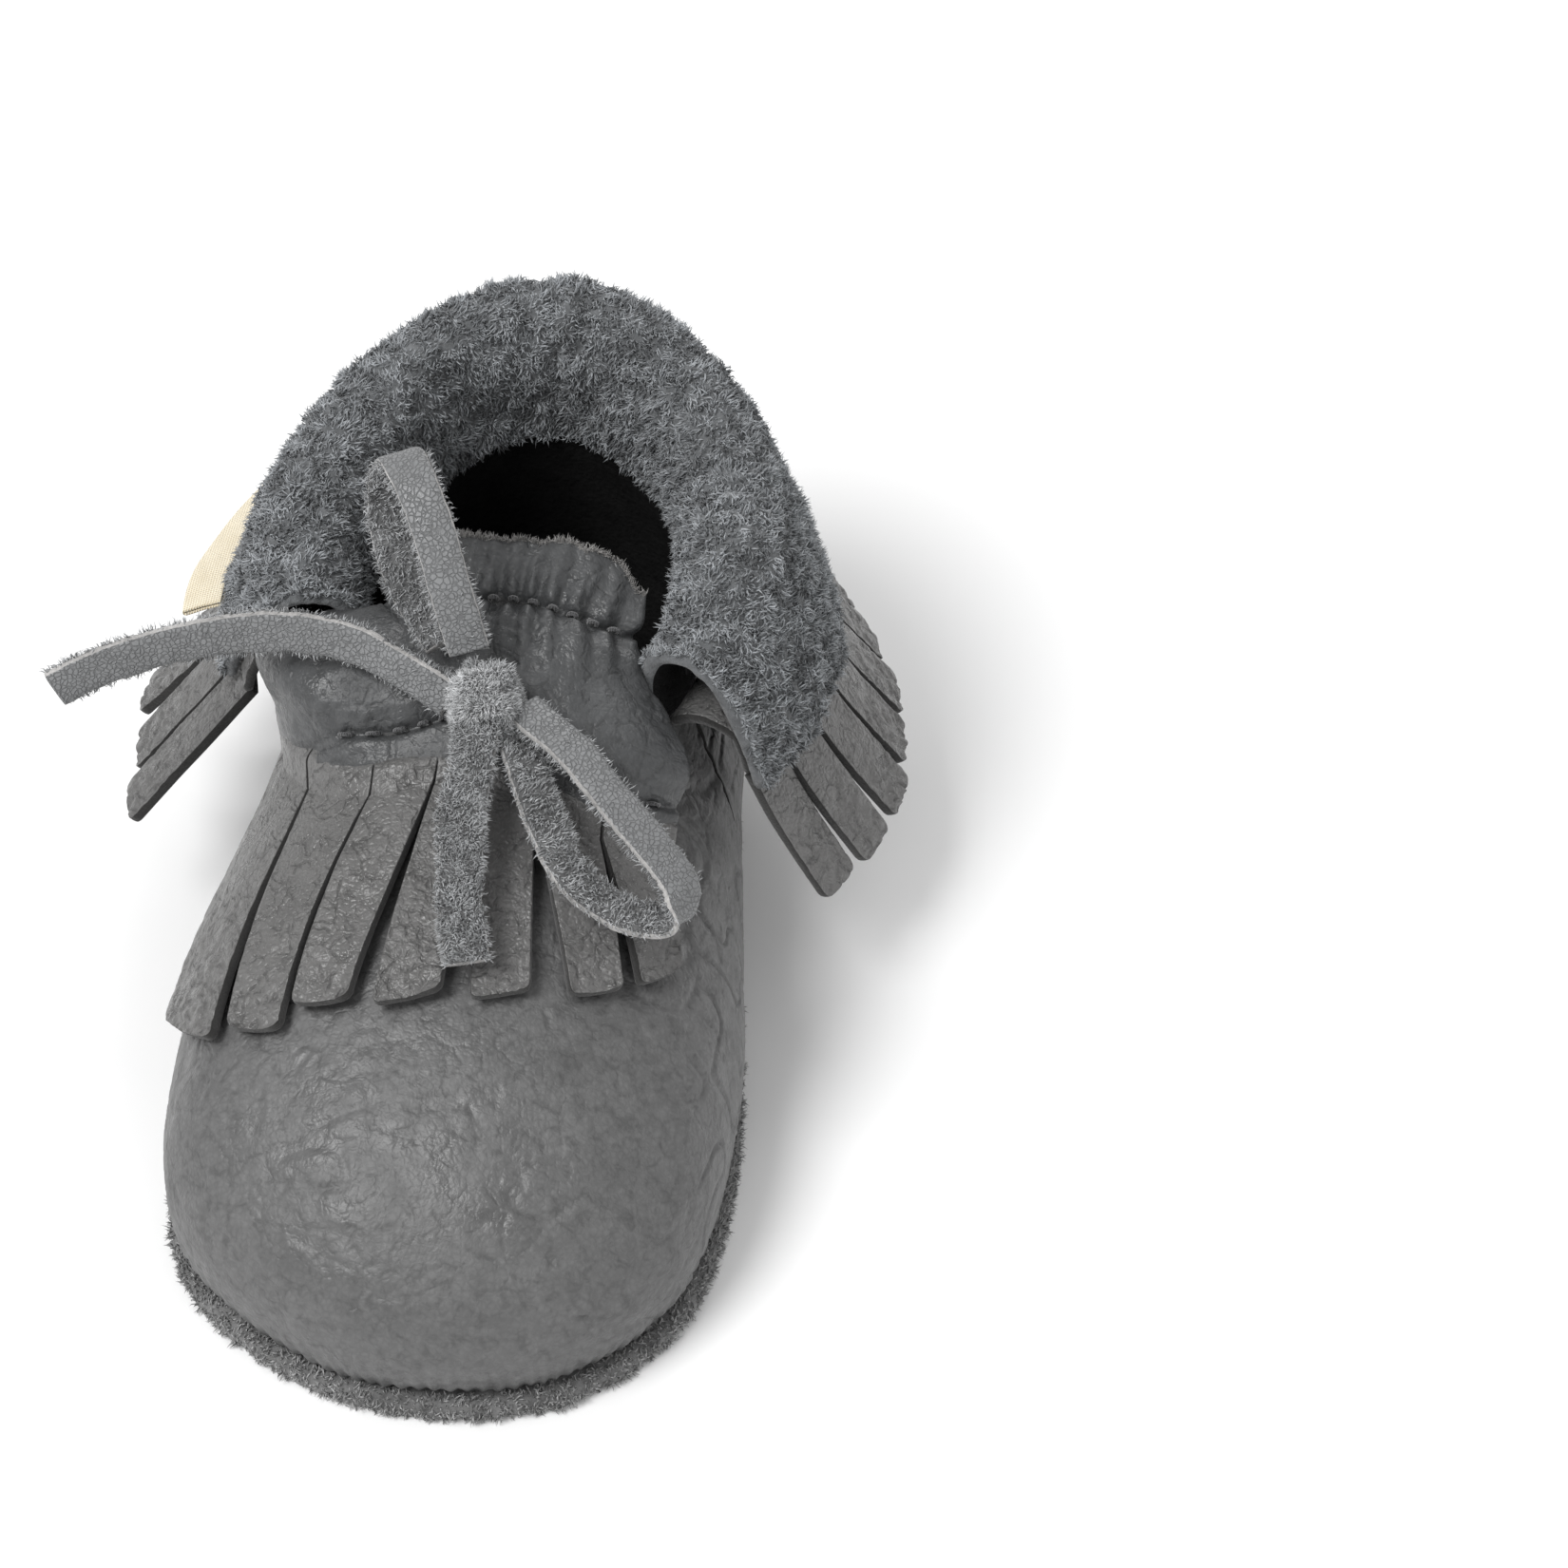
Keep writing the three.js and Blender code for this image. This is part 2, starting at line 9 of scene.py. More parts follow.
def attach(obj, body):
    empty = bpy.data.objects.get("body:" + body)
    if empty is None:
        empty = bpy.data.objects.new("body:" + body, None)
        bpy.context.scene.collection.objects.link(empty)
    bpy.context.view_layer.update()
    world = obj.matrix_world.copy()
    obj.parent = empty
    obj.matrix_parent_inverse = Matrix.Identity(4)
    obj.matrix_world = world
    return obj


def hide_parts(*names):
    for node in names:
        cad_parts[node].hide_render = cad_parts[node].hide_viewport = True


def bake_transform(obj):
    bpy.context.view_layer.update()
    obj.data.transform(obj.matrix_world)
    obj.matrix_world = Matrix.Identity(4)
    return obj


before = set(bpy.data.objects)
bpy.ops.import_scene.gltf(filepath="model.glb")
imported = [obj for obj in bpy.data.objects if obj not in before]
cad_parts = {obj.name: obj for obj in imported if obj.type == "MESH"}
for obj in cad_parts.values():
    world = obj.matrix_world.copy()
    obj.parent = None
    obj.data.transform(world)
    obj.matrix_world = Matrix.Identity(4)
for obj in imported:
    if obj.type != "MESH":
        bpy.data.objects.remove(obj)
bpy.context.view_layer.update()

# Looks of a soft-soled baby moccasin. Shapes are worked out in millimetres, in the row frame: +Z up,
# toe towards -Y, inner side of the foot towards +X. Meshes are stored in metres.
MM = 0.001
ROOT = "moccasin"
RANDOM = np.random.default_rng(11)
FINE = 0.3  # distance between the points of the leather surfaces

# ---- Driving dimensions ----
# They are those of the CAD model, apart from two: the cuff's section runs on 1.6 mm further down, to
# meet the upper, and the fringe band has a root that the CAD model leaves out.
LEATHER = 1.4
SUEDE = 1.6
GAP = 0.4
SOLE_THICKNESS = 2.6
SOLE_LIP = 1.3
INSOLE_INSET = 3.4
INSOLE_THICKNESS = 2.0

ANKLE_MIDDLE_Y = 27.5
ANKLE_HALF_WIDTH = 22.0
ANKLE_HALF_LENGTH = 30.5
ANKLE_SIDE_Z = 38.0
ANKLE_FRONT_RISE = 4.0
ANKLE_BACK_RISE = 6.0
SIDE_SEAM = 0.285

CUFF_RIGHT = 59.0
CUFF_LEFT = 289.0
CUFF_END_SLANT = 7.0
CUFF_END_BLEND = 34.0
CUFF_FRONT_HEIGHT = 0.66
CUFF_FRONT_FLARE = 0.86
CUFF_BACK_FLARE = 0.8

# Both edges of each front strand at its tip, as places across the fringe.
FRONT_TIPS = [
    (-0.97, -0.65), (-0.62, -0.46), (-0.44, -0.27), (-0.2, 0.03), (0.13, 0.36), (0.5, 0.71),
    (0.77, 0.96),
]
FRONT_STRANDS = len(FRONT_TIPS)
SIDE_STRANDS = 22
FRINGE_THICKNESS = 1.3
STRAND_LEAN = 10.0
STRAND_SPLAY = np.array([-6.0, 0, 2])
LEAN_FROM = 235.0
LABEL_FROM = 268.0
LABEL_TO = 234.0
LACE_WIDTH = 5.0
LACE_THICKNESS = 1.5
KNOT = np.array([0.2, -0.4, 52.6])
INSTEP_SLOPE = math.radians(30)

FOOT_OUTLINE = [
    (3, -62.5), (18, -57.5), (28, -45), (30.5, -25), (28.5, -4), (25, 20), (22.5, 40), (14, 56),
    (0, 61), (-14, 56), (-22.5, 40), (-25.5, 20), (-30, -4), (-33.5, -27), (-29.5, -47), (-14, -59.5),
]
ANKLE_ANGLES = [0, 12, 24, 38, 58, 84, 112, 146, 180, 214, 248, 276, 302, 322, 336, 348]
CUFF_SECTION = [
    (15.6, -3), (13.9, 3), (11, 11), (8, 17), (4.2, 19.2), (0.2, 17.6), (-1.8, 13), (-2.1, 7),
    (-0.7, -0.3),
]
BAND_SECTION = [(13.6, -2.9), (12.6, 0.6), (11.4, 4.4)]
BAND_ROOT_SECTION = [(11.6, 4.1), (8.0, 5.4), (4.5, 4.6), (1.4, 2.0)]
STRAND_SECTION = [(14.3, -4.6), (16.6, -8.6), (20.2, -13.8), (25.2, -20.6)]
LABEL_SECTION = [(21.8, -3.2), (19.2, -1.9), (16.6, -0.9)]

# The lace's routes, from the knot's centre.
LACE_TAIL_LEFT = [
    (-4.3, -0.2, 1.1), (-9.8, 2.2, 2.6), (-15.1, 4.8, 3.3), (-21.8, 6.2, 3.5), (-28.1, 6.4, 2.9),
    (-34.8, 5.6, 1.8), (-41.2, 4.1, 0.4), (-47, 2.2, -1.3), (-51.3, 0.5, -3.2),
]
LACE_TAIL_FRONT = [
    (0.5, 2.3, 4.6), (0, -2.2, 3.8), (-0.2, -5.9, 1), (-0.4, -10, -1.6), (-0.7, -13.9, -3.3),
    (-0.3, -18.8, -5.8), (0.4, -23.9, -8.4), (1.9, -29.4, -11.6),
]
LACE_LOOP_LEFT = [
    (-2.2, 2.9, 6.1), (-4.2, 5.5, 11.6), (-6.9, 10.2, 17.5), (-9.8, 15, 20.9), (-12.1, 19.2, 20.4),
    (-13.7, 20.2, 15.9), (-13.2, 17, 10.3), (-10.4, 12.2, 6.2), (-5.6, 6.2, 3.9),
]
LACE_LOOP_RIGHT = [
    (4.4, -0.9, 1.2), (11.3, -6.4, 0.2), (16, -10.9, -2), (21.5, -15.5, -5), (25, -18.8, -7.8),
    (24.6, -21.5, -10), (19.3, -21.6, -10), (12.9, -18.9, -7.6), (8.6, -13.4, -4.2), (4.6, -5, -0.9),
]


# ---- Numbers and noise ----
def lerp(a, b, t):
    return a + (b - a) * t


def smoothstep(x, low=0.0, high=1.0):
    t = np.clip((x - low) / (high - low), 0, 1)
    return t * t * (3 - 2 * t)


def bell(x, width):
    """1 at x = 0, falling off over about width to both sides."""
    return np.exp(-((x / width) ** 2))


def unit(v):
    return v / np.maximum(np.linalg.norm(v, axis=-1, keepdims=True), 1e-9)


def spread_over(length, spacing):
    """Evenly spaced shares from 0 to 1 along a length in mm."""
    return np.linspace(0, 1, max(2, round(length / spacing) + 1))


def lattice(cells, seed):
    """A repeatable number from 0 to 1 for each whole-number cell."""
    mask = 0xFFFFFFFF
    mixed = (cells[..., 0] * 73856093 + cells[..., 1] * 19349663 + cells[..., 2] * 83492791) & mask
    mixed = (mixed + seed * 2654435761) & mask
    mixed = ((mixed ^ (mixed >> 15)) * 2246822519) & mask
    mixed = ((mixed ^ (mixed >> 13)) * 3266489917) & mask
    return ((mixed ^ (mixed >> 16)) & 0xFFFFFF) / 0xFFFFFF


def noise(points, size, seed=0):
    """Smooth noise from -1 to 1 with features of about size mm."""
    place = points / size
    cell = np.floor(place).astype(np.int64)
    part = place - cell
    part = part * part * (3 - 2 * part)
    total = 0
    for corner in product((0, 1), repeat=3):
        share = np.where(np.array(corner) == 1, part, 1 - part).prod(axis=-1)
        total = total + share * lattice(cell + np.array(corner), seed)
    return 2 * total - 1


def noise_vector(points, size, seeds):
    return np.stack([noise(points, size, seed) for seed in seeds], axis=-1)


def crackle(points, size, seed=0):
    """Pebbles of about size mm: 0 in the furrows between them, towards 1 in their middles."""
    place = points / size
    cell = np.floor(place).astype(np.int64)
    nearest = np.full(points.shape[:-1], 9.0)
    second = nearest.copy()
    for corner in product((-1, 0, 1), repeat=3):
        near = cell + np.array(corner)
        middle = near + np.stack([lattice(near, seed + k) for k in range(3)], axis=-1)
        away = np.linalg.norm(place - middle, axis=-1)
        second = np.minimum(second, np.maximum(nearest, away))
        nearest = np.minimum(nearest, away)
    return smoothstep(second - nearest, 0, 0.35)


def curve_point(points, along, closed=False):
    """Smooth curve through points: even steps when closed, centripetal Catmull-Rom when open."""
    points = np.asarray(points, float)
    count = len(points)
    along = np.asarray(along, float)
    if closed:
        place = (along % 1) * count
        i = np.minimum(np.floor(place).astype(int), count - 1)
        four = [points[(i + k) % count] for k in (-1, 0, 1, 2)]
        start = (four[2] - four[0]) / 2
        finish = (four[3] - four[1]) / 2
    else:
        place = np.clip(along, 0, 1) * (count - 1)
        i = np.minimum(np.floor(place).astype(int), count - 2)
        longer = np.vstack([2 * points[0] - points[1], points, 2 * points[-1] - points[-2]])
        four = [longer[i + k] for k in range(4)]
        gaps = [np.linalg.norm(four[k + 1] - four[k], axis=-1)[..., None] ** 0.5 for k in range(3)]
        steps = [(four[k + 1] - four[k]) / gaps[k] for k in range(3)]
        start = (steps[0] - (four[2] - four[0]) / (gaps[0] + gaps[1]) + steps[1]) * gaps[1]
        finish = (steps[1] - (four[3] - four[1]) / (gaps[1] + gaps[2]) + steps[2]) * gaps[1]
    t = (place - i)[..., None]
    square = -3 * four[1] + 3 * four[2] - 2 * start - finish
    cube = 2 * four[1] - 2 * four[2] + start + finish
    return four[1] + t * (start + t * (square + t * cube))


# ---- The shoe's surfaces, each a function of two parameters ----
def foot_point(around):
    flat = curve_point(FOOT_OUTLINE, around, closed=True)
    height = np.full(flat.shape[:-1] + (1,), SOLE_THICKNESS + GAP)
    return np.concatenate([flat, height], axis=-1)


def outward_at(around):
    step = 1e-3
    run = foot_point(around + step) - foot_point(around - step)
    return unit(np.stack([run[..., 1], -run[..., 0], 0 * run[..., 0]], axis=-1))


def ankle_point(degrees):
    angle = np.radians(degrees)
    forward = np.cos(angle)
    rise = np.where(forward > 0, ANKLE_FRONT_RISE, ANKLE_BACK_RISE) * forward ** 2
    x = ANKLE_HALF_WIDTH * np.sin(angle)
    y = ANKLE_MIDDLE_Y - ANKLE_HALF_LENGTH * forward
    return np.stack([x, y, ANKLE_SIDE_Z + rise], axis=-1)


ANKLE_POINTS = ankle_point(np.array(ANKLE_ANGLES))

# Control points of the upper's section; pairs of values are those at the heel and at the toe.
LOW_OUT = (5, 7.5)  # beyond the sole's outline
LOW_UP = (14, 20)  # above the sole
HIGH_OUT = 3  # beyond the ankle seam, at the heel
HIGH_TOEWARD = 0.54  # share of the way from the ankle seam to the outline, at the toe
HIGH_DOWN = (12, 7)  # below the ankle seam


def upper_point(around, rise):
    """Outer face of the upper: around is 0 at the toe, 0.5 at the heel; rise is 0 at the sole."""
    around, rise = np.broadcast_arrays(around, rise)
    foot = foot_point(around)
    ankle = curve_point(ANKLE_POINTS, around, closed=True)
    toeward = smoothstep(np.cos(2 * np.pi * around), -1, 1)[..., None]
    outward = outward_at(around)
    low = foot + outward * lerp(*LOW_OUT, toeward)
    low[..., 2:] += lerp(*LOW_UP, toeward)
    high = ankle + outward * HIGH_OUT * (1 - toeward)
    high[..., :2] += HIGH_TOEWARD * toeward * (foot - ankle)[..., :2]
    high[..., 2:] -= lerp(*HIGH_DOWN, toeward)
    t = rise[..., None]
    s = 1 - t
    return s ** 3 * foot + 3 * s * s * t * low + 3 * s * t * t * high + t ** 3 * ankle


def cuff_scale(degrees):
    from_end = np.minimum(degrees - CUFF_RIGHT, CUFF_LEFT - degrees)
    grown = smoothstep(from_end, 0, CUFF_END_BLEND)
    backward = smoothstep(-np.cos(np.radians(degrees)), 0, 1)
    out = lerp(CUFF_FRONT_FLARE, lerp(1, CUFF_BACK_FLARE, backward), grown)
    return out, lerp(CUFF_FRONT_HEIGHT, 1, grown)


def around_ankle(section):
    """A surface with a section that is carried round the ankle seam."""
    def surface(degrees, along):
        degrees, along = np.broadcast_arrays(np.asarray(degrees, float), along)
        angle = np.radians(degrees)
        outward = np.stack([np.sin(angle) / ANKLE_HALF_WIDTH, -np.cos(angle) / ANKLE_HALF_LENGTH,
                            0 * angle], axis=-1)
        out_scale, up_scale = cuff_scale(degrees)
        place = curve_point(section, along)
        out = place[..., 0] * out_scale
        up = place[..., 1] * np.where(place[..., 1] < 0, 1, up_scale)
        point = ankle_point(degrees) + unit(outward) * out[..., None]
        point[..., 2] += up
        return point
    return surface


cuff_surface = around_ankle(CUFF_SECTION)


def cuff_leaf(share, along):
    """The cuff from its right end (share 0) to its left end, whose lower corner is cut back."""
    left = CUFF_LEFT - CUFF_END_SLANT * (1 - smoothstep(along, 0, 0.5))
    return cuff_surface(lerp(CUFF_RIGHT, left, share), along)


band_surface = around_ankle(BAND_SECTION)
band_root_surface = around_ankle(BAND_ROOT_SECTION)
strand_surface = around_ankle(STRAND_SECTION)
label_surface = around_ankle(LABEL_SECTION)

FLAP_RIM_HALF_WIDTH = 15.2
FLAP_RIM_Y = 22.5
FLAP_RIM_Z = 57.5
FLAP_RIM_DROP = 4.5
FLAP_RIM_BACK = 2.5
FLAP_ARCH = 1.5  # its rise above a straight line from fringe to rim, halfway
FLAP_SHOULDERS = ((0.26, 0.45), (0.26, 0.62))  # on its left and its right side
FLAP_LOBE_RISE = 7.5
FLAP_LOBE_OUT = 2.0
FLAP_LOBE_REACH = 0.7
FLAP_ROOT = ((-0.27, 0.68), (-0.03, 0.985), (0.19, 0.75))
FLAP_TIP = ((-0.187, 0.31), (-0.018, 0.69), (0.165, 0.6))
FLAP_ROOT_LIFT = 2.6
FLAP_TIP_LIFT = 1.8


def place_across(line, across):
    left, middle, right = (np.array(place) for place in line)
    across = across[..., None]
    return middle + across * (right - left) / 2 + across ** 2 * ((right + left) / 2 - middle)


def front_point(across, way):
    """A point over the toes: across the fringe from -1 to 1, way 0 at the strands' start."""
    across, way = np.broadcast_arrays(np.asarray(across, float), way)
    place = lerp(place_across(FLAP_ROOT, across), place_across(FLAP_TIP, across), way[..., None])
    around, rise = place[..., 0], place[..., 1]
    lift = lerp(FLAP_ROOT_LIFT, FLAP_TIP_LIFT, way)[..., None]
    return upper_point(around, rise) + normal_of(upper_point, around, rise) * lift


def flap_surface(across, up):
    """The tongue: up is 0 where the strands start and 1 at the rim."""
    across, up = np.broadcast_arrays(np.asarray(across, float), up)
    square = across ** 2
    rim = np.stack([across * FLAP_RIM_HALF_WIDTH, FLAP_RIM_Y + FLAP_RIM_BACK * square,
                    FLAP_RIM_Z - FLAP_RIM_DROP * square], axis=-1)
    root = front_point(across, 0 * up)
    point = lerp(root, rim, up[..., None])
    widest, narrowed = (lerp(left, right, (across + 1) / 2) for left, right in zip(*FLAP_SHOULDERS))
    point[..., 0] = lerp(root[..., 0], rim[..., 0], smoothstep(up, widest, narrowed))
    point[..., 2] += 4 * FLAP_ARCH * up * (1 - up) * (1 - 0.5 * square)
    lobe = smoothstep(-across, 0.3, 1) * np.sin(np.pi * np.clip(up / FLAP_LOBE_REACH, 0, 1)) ** 2
    point[..., 0] -= FLAP_LOBE_OUT * lobe
    point[..., 2] += FLAP_LOBE_RISE * lobe
    return point


def normal_of(surface, a, b):
    step = 1e-3
    along = surface(a + step, b) - surface(a - step, b)
    upward = surface(a, b + step) - surface(a, b - step)
    return unit(np.cross(along, upward))


# ---- Meshes ----
def mesh_piece(name, points, faces, materials, marks=None, tone=None):
    """An object from points in mm and a list of face arrays, each with the same corner count.
    marks has the material number of every face, in the order of the faces."""
    mesh = bpy.data.meshes.new(name)
    corners = np.concatenate([block.ravel() for block in faces]).astype(np.int32)
    sizes = np.concatenate([np.full(len(block), block.shape[1]) for block in faces])
    starts = np.concatenate([[0], np.cumsum(sizes)[:-1]]).astype(np.int32)
    mesh.vertices.add(len(points))
    mesh.vertices.foreach_set("co", (points * MM).astype(np.float32).ravel())
    mesh.loops.add(len(corners))
    mesh.loops.foreach_set("vertex_index", corners)
    mesh.polygons.add(len(sizes))
    mesh.polygons.foreach_set("loop_start", starts)
    for material in materials:
        mesh.materials.append(material)
    if marks is not None:
        mesh.polygons.foreach_set("material_index", marks.astype(np.int32))
    if tone is not None:
        layer = mesh.attributes.new("tone", "FLOAT", "POINT")
        layer.data.foreach_set("value", tone.astype(np.float32))
    mesh.update(calc_edges=True)
    mesh.validate()
    mesh.shade_smooth()
    piece = bpy.data.objects.new(name, mesh)
    bpy.context.scene.collection.objects.link(piece)
    return piece


def settle(piece, nodes=()):
    """Puts a piece on the shoe's body and hides the CAD nodes it stands for."""
    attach(piece, ROOT)
    if nodes:
        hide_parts(*nodes)
    return piece


def grid_faces(rows, columns, offset=0, flip=False):
    index = offset + np.arange(rows * columns).reshape(rows, columns)
    a, b, c, d = index[:-1, :-1], index[1:, :-1], index[1:, 1:], index[:-1, 1:]
    order = (d, c, b, a) if flip else (a, b, c, d)
    return np.stack([corner.ravel() for corner in order], axis=-1)


def rim_of(grid):
    """The grid's border, anticlockwise, as a list of points."""
    return np.concatenate([grid[:-1, 0], grid[-1, :-1], grid[:0:-1, -1], grid[0, :0:-1]])


RIM_STEPS = (0.12, 0.35, 0.65, 0.88)


def closed_sheet(name, outer, inner, materials, rounding=0.3):
    """A sheet between two grids of points. Materials are those of the outer face, the inner face
    and the cut edge, which bulges by rounding mm."""
    rows, columns = outer.shape[:2]
    count = rows * columns
    index = np.arange(count).reshape(rows, columns)
    rim = rim_of(index)
    inside = rim_of(index[:, [1] + list(range(1, columns - 1)) + [columns - 2]][
        [1] + list(range(1, rows - 1)) + [rows - 2]])
    top = outer.reshape(-1, 3)
    bottom = inner.reshape(-1, 3)
    bulge = unit(top[rim] - top[inside]) * rounding
    rings = [rim]
    points = [top, bottom]
    for k, share in enumerate(RIM_STEPS):
        points.append(lerp(top[rim], bottom[rim], share) + bulge * math.sin(math.pi * share))
        rings.append(2 * count + k * len(rim) + np.arange(len(rim)))
    rings.append(count + rim)
    walls = [np.stack([a, b, np.roll(b, -1), np.roll(a, -1)], axis=-1)
             for a, b in zip(rings, rings[1:])]
    outer_faces = grid_faces(rows, columns)
    inner_faces = grid_faces(rows, columns, count, flip=True)
    faces = np.concatenate([outer_faces, inner_faces] + walls)
    marks = np.zeros(len(faces))
    marks[len(outer_faces):] = 1
    marks[len(outer_faces) + len(inner_faces):] = 2
    return mesh_piece(name, np.concatenate(points), [faces], materials, marks)


def grid_normals(grid):
    along = np.gradient(grid, axis=0)
    upward = np.gradient(grid, axis=1)
    return unit(np.cross(along, upward))


def thick_sheet(name, middle, relief, thickness, materials, rounding=0.3, normals=None):
    """A closed sheet about a grid of middle points, its outer face raised by relief mm."""
    if normals is None:
        normals = grid_normals(middle)
    outer = middle + normals * (thickness / 2 + relief)[..., None]
    inner = middle - normals * thickness / 2
    return closed_sheet(name, outer, inner, materials, rounding), outer, inner


def tube(points, radii, sides=8):
    """Points and faces of a round thread along points, with a given radius at each."""
    tangent = unit(np.gradient(points, axis=0))
    side = unit(np.cross(tangent, np.array([0.31, 0.42, 0.85])))
    other = np.cross(tangent, side)
    turn = np.linspace(0, 2 * np.pi, sides, endpoint=False)
    ring = np.cos(turn)[None, :, None] * side[:, None] + np.sin(turn)[None, :, None] * other[:, None]
    return swept(points[:, None] + ring * radii[:, None, None])


def swept(rings):
    """Points and faces of a closed solid through rings of points, with a fan over each end."""
    count, sides = rings.shape[:2]
    index = np.arange(count * sides).reshape(count, sides)
    a, b = index[:-1], index[1:]
    walls = np.stack([a, np.roll(a, -1, 1), np.roll(b, -1, 1), b], axis=-1).reshape(-1, 4)
    first, last = count * sides, count * sides + 1
    points = np.concatenate([rings.reshape(-1, 3), rings[0].mean(0)[None], rings[-1].mean(0)[None]])
    start = np.stack([np.roll(index[0], -1), index[0], np.full(sides, first)], axis=-1)
    finish = np.stack([index[-1], np.roll(index[-1], -1), np.full(sides, last)], axis=-1)
    return points, walls, np.concatenate([start, finish])


def joined(solids):
    """Several swept solids as one set of points and faces."""
    points, walls, fans, offset = [], [], [], 0
    for solid in solids:
        points.append(solid[0])
        walls.append(solid[1] + offset)
        fans.append(solid[2] + offset)
        offset += len(solid[0])
    return np.concatenate(points), [np.concatenate(walls), np.concatenate(fans)]


# ---- Nap: the short fibres of suede and cut leather ----
NAP_CLUMP = 1.7  # size of the clumps that the nap forms
NAP_SEED = 62


def scatter(grid, count, density=1.0):
    """Random places on a grid of points, and the grid's normals there."""
    corner = grid[:-1, :-1]
    along = grid[1:, :-1] - corner
    upward = grid[:-1, 1:] - corner
    normal = np.cross(along, upward)
    weight = (np.linalg.norm(normal, axis=-1) * density).ravel()
    pick = RANDOM.choice(len(weight), size=count, p=weight / weight.sum())
    u, v = RANDOM.random((2, count, 1))
    flat = [part.reshape(-1, 3)[pick] for part in (corner, along, upward, normal)]
    return flat[0] + flat[1] * u + flat[2] * v, unit(flat[3])


def nap_piece(name, roots, normals, length, radius, material, lie=0.9, tuft=2.2, drift=(0, 0, -0.2),
              pits=0.0):
    """Closed needles that bend once. lie is how far they lean over; tuft is the size in mm of the
    patches that lean the same way; drift is the way the whole nap is brushed; pits is how much
    painted shade darkens the fibres in the hollows."""
    count = len(roots)
    patch = noise_vector(roots, tuft, (1, 2, 3))
    stray = RANDOM.normal(size=(count, 3))
    first = unit(normals + lie * (0.9 * patch + 0.35 * stray) + np.array(drift))
    second = unit(first + 1.3 * lie * (np.roll(patch, 1, -1) + 0.5 * RANDOM.normal(size=(count, 3))))
    long = length * RANDOM.uniform(0.55, 1.25, (count, 1))
    thick = radius * RANDOM.uniform(0.6, 1.3, (count, 1))
    side = unit(np.cross(first, stray))
    other = np.cross(first, side)
    middle = roots + first * long * 0.5
    base = roots - first * long * 0.15
    points = np.empty((count, 7, 3))
    for k in range(3):
        turn = 2 * math.pi * k / 3
        ring = (math.cos(turn) * side + math.sin(turn) * other) * thick
        points[:, k] = base + ring
        points[:, 3 + k] = middle + 0.8 * ring
    points[:, 6] = middle + second * long * 0.5
    quads = np.array([(0, 1, 4, 3), (1, 2, 5, 4), (2, 0, 3, 5)])
    triangles = np.array([(3, 4, 6), (4, 5, 6), (5, 3, 6), (0, 2, 1)])
    offset = 7 * np.arange(count)[:, None, None]
    faces = [(quads + offset).reshape(-1, 4), (triangles + offset).reshape(-1, 3)]
    own = RANDOM.uniform(0, 0.75, (count, 1)) + 0.25 * patch[:, :1]
    # Painted shade: fibres rooted in the hollows of the NAP_CLUMP noise, which also shapes the cuff's
    # relief, are darker.
    own = own + pits * noise(roots, NAP_CLUMP, NAP_SEED)[:, None]
    tone = own + np.array([0, 0, 0, 0.12, 0.12, 0.12, 0.25])
    return mesh_piece(name, points.reshape(-1, 3), faces, [material], tone=tone.ravel())


# ---- Materials ----
def add(tree, kind, inputs=None, **settings):
    """A shader node; inputs are values or the sockets that feed them."""
    node = tree.nodes.new(kind)
    for key, value in settings.items():
        setattr(node, key, value)
    for key, value in (inputs or {}).items():
        if isinstance(value, bpy.types.NodeSocket):
            tree.links.new(value, node.inputs[key])
        else:
            node.inputs[key].default_value = value
    return node


def blank_material(name, sockets):
    material = bpy.data.materials.new(name)
    material.use_nodes = True
    surface = material.node_tree.nodes["Principled BSDF"]
    for key, value in sockets.items():
        surface.inputs[key].default_value = value
    return material, material.node_tree, surface


def math_node(tree, operation, first, second):
    return add(tree, "ShaderNodeMath", {0: first, 1: second}, operation=operation).outputs[0]


def mix_colour(tree, share, dark, light):
    mix = add(tree, "ShaderNodeMix", data_type="RGBA")
    for key, value in ((0, share), (6, dark), (7, light)):
        if isinstance(value, bpy.types.NodeSocket):
            tree.links.new(value, mix.inputs[key])
        else:
            mix.inputs[key].default_value = value
    return mix.outputs[2]


def grey(value, warmth=0.0):
    return (value * (1 + warmth), value, value * (1 - warmth), 1)


def object_place(tree, wobble=0.4, size=2.2):
    """Object coordinates, shaken by wobble mm over size mm so that no pattern looks ruled."""
    coords = add(tree, "ShaderNodeTexCoord").outputs["Object"]
    shake = add(tree, "ShaderNodeTexNoise", {"Vector": coords, "Scale": 1 / (size * MM), "Detail": 3})
    parts = {0: shake.outputs["Color"], 1: (wobble * MM,) * 3, 2: coords}
    return add(tree, "ShaderNodeVectorMath", parts, operation="MULTIPLY_ADD").outputs[0]


def noise_node(tree, place, size, detail=4):
    return add(tree, "ShaderNodeTexNoise", {"Vector": place, "Scale": 1 / (size * MM), "Detail": detail,
                                            "Roughness": 0.6}).outputs["Fac"]


def mapped(tree, value, low, high, to_low=0.0, to_high=1.0, **settings):
    """The range from low to high, mapped to another one and clamped."""
    inputs = {"Value": value, "From Min": low, "From Max": high, "To Min": to_low, "To Max": to_high}
    return add(tree, "ShaderNodeMapRange", inputs, **settings).outputs["Result"]


def furrows(tree, place, size, width):
    """0 in the furrows between cells of about size mm, 1 on the cells."""
    cells = add(tree, "ShaderNodeTexVoronoi", {"Vector": place, "Scale": 1 / (size * MM)},
                feature="DISTANCE_TO_EDGE").outputs["Distance"]
    return mapped(tree, cells, 0.0, width, interpolation_type="SMOOTHSTEP")


def weighted(tree, parts):
    """The sum of sockets, each times its weight."""
    total = 0
    for socket, weight in parts:
        scaled = math_node(tree, "MULTIPLY", socket, weight)
        total = math_node(tree, "ADD", scaled, total)
    return total


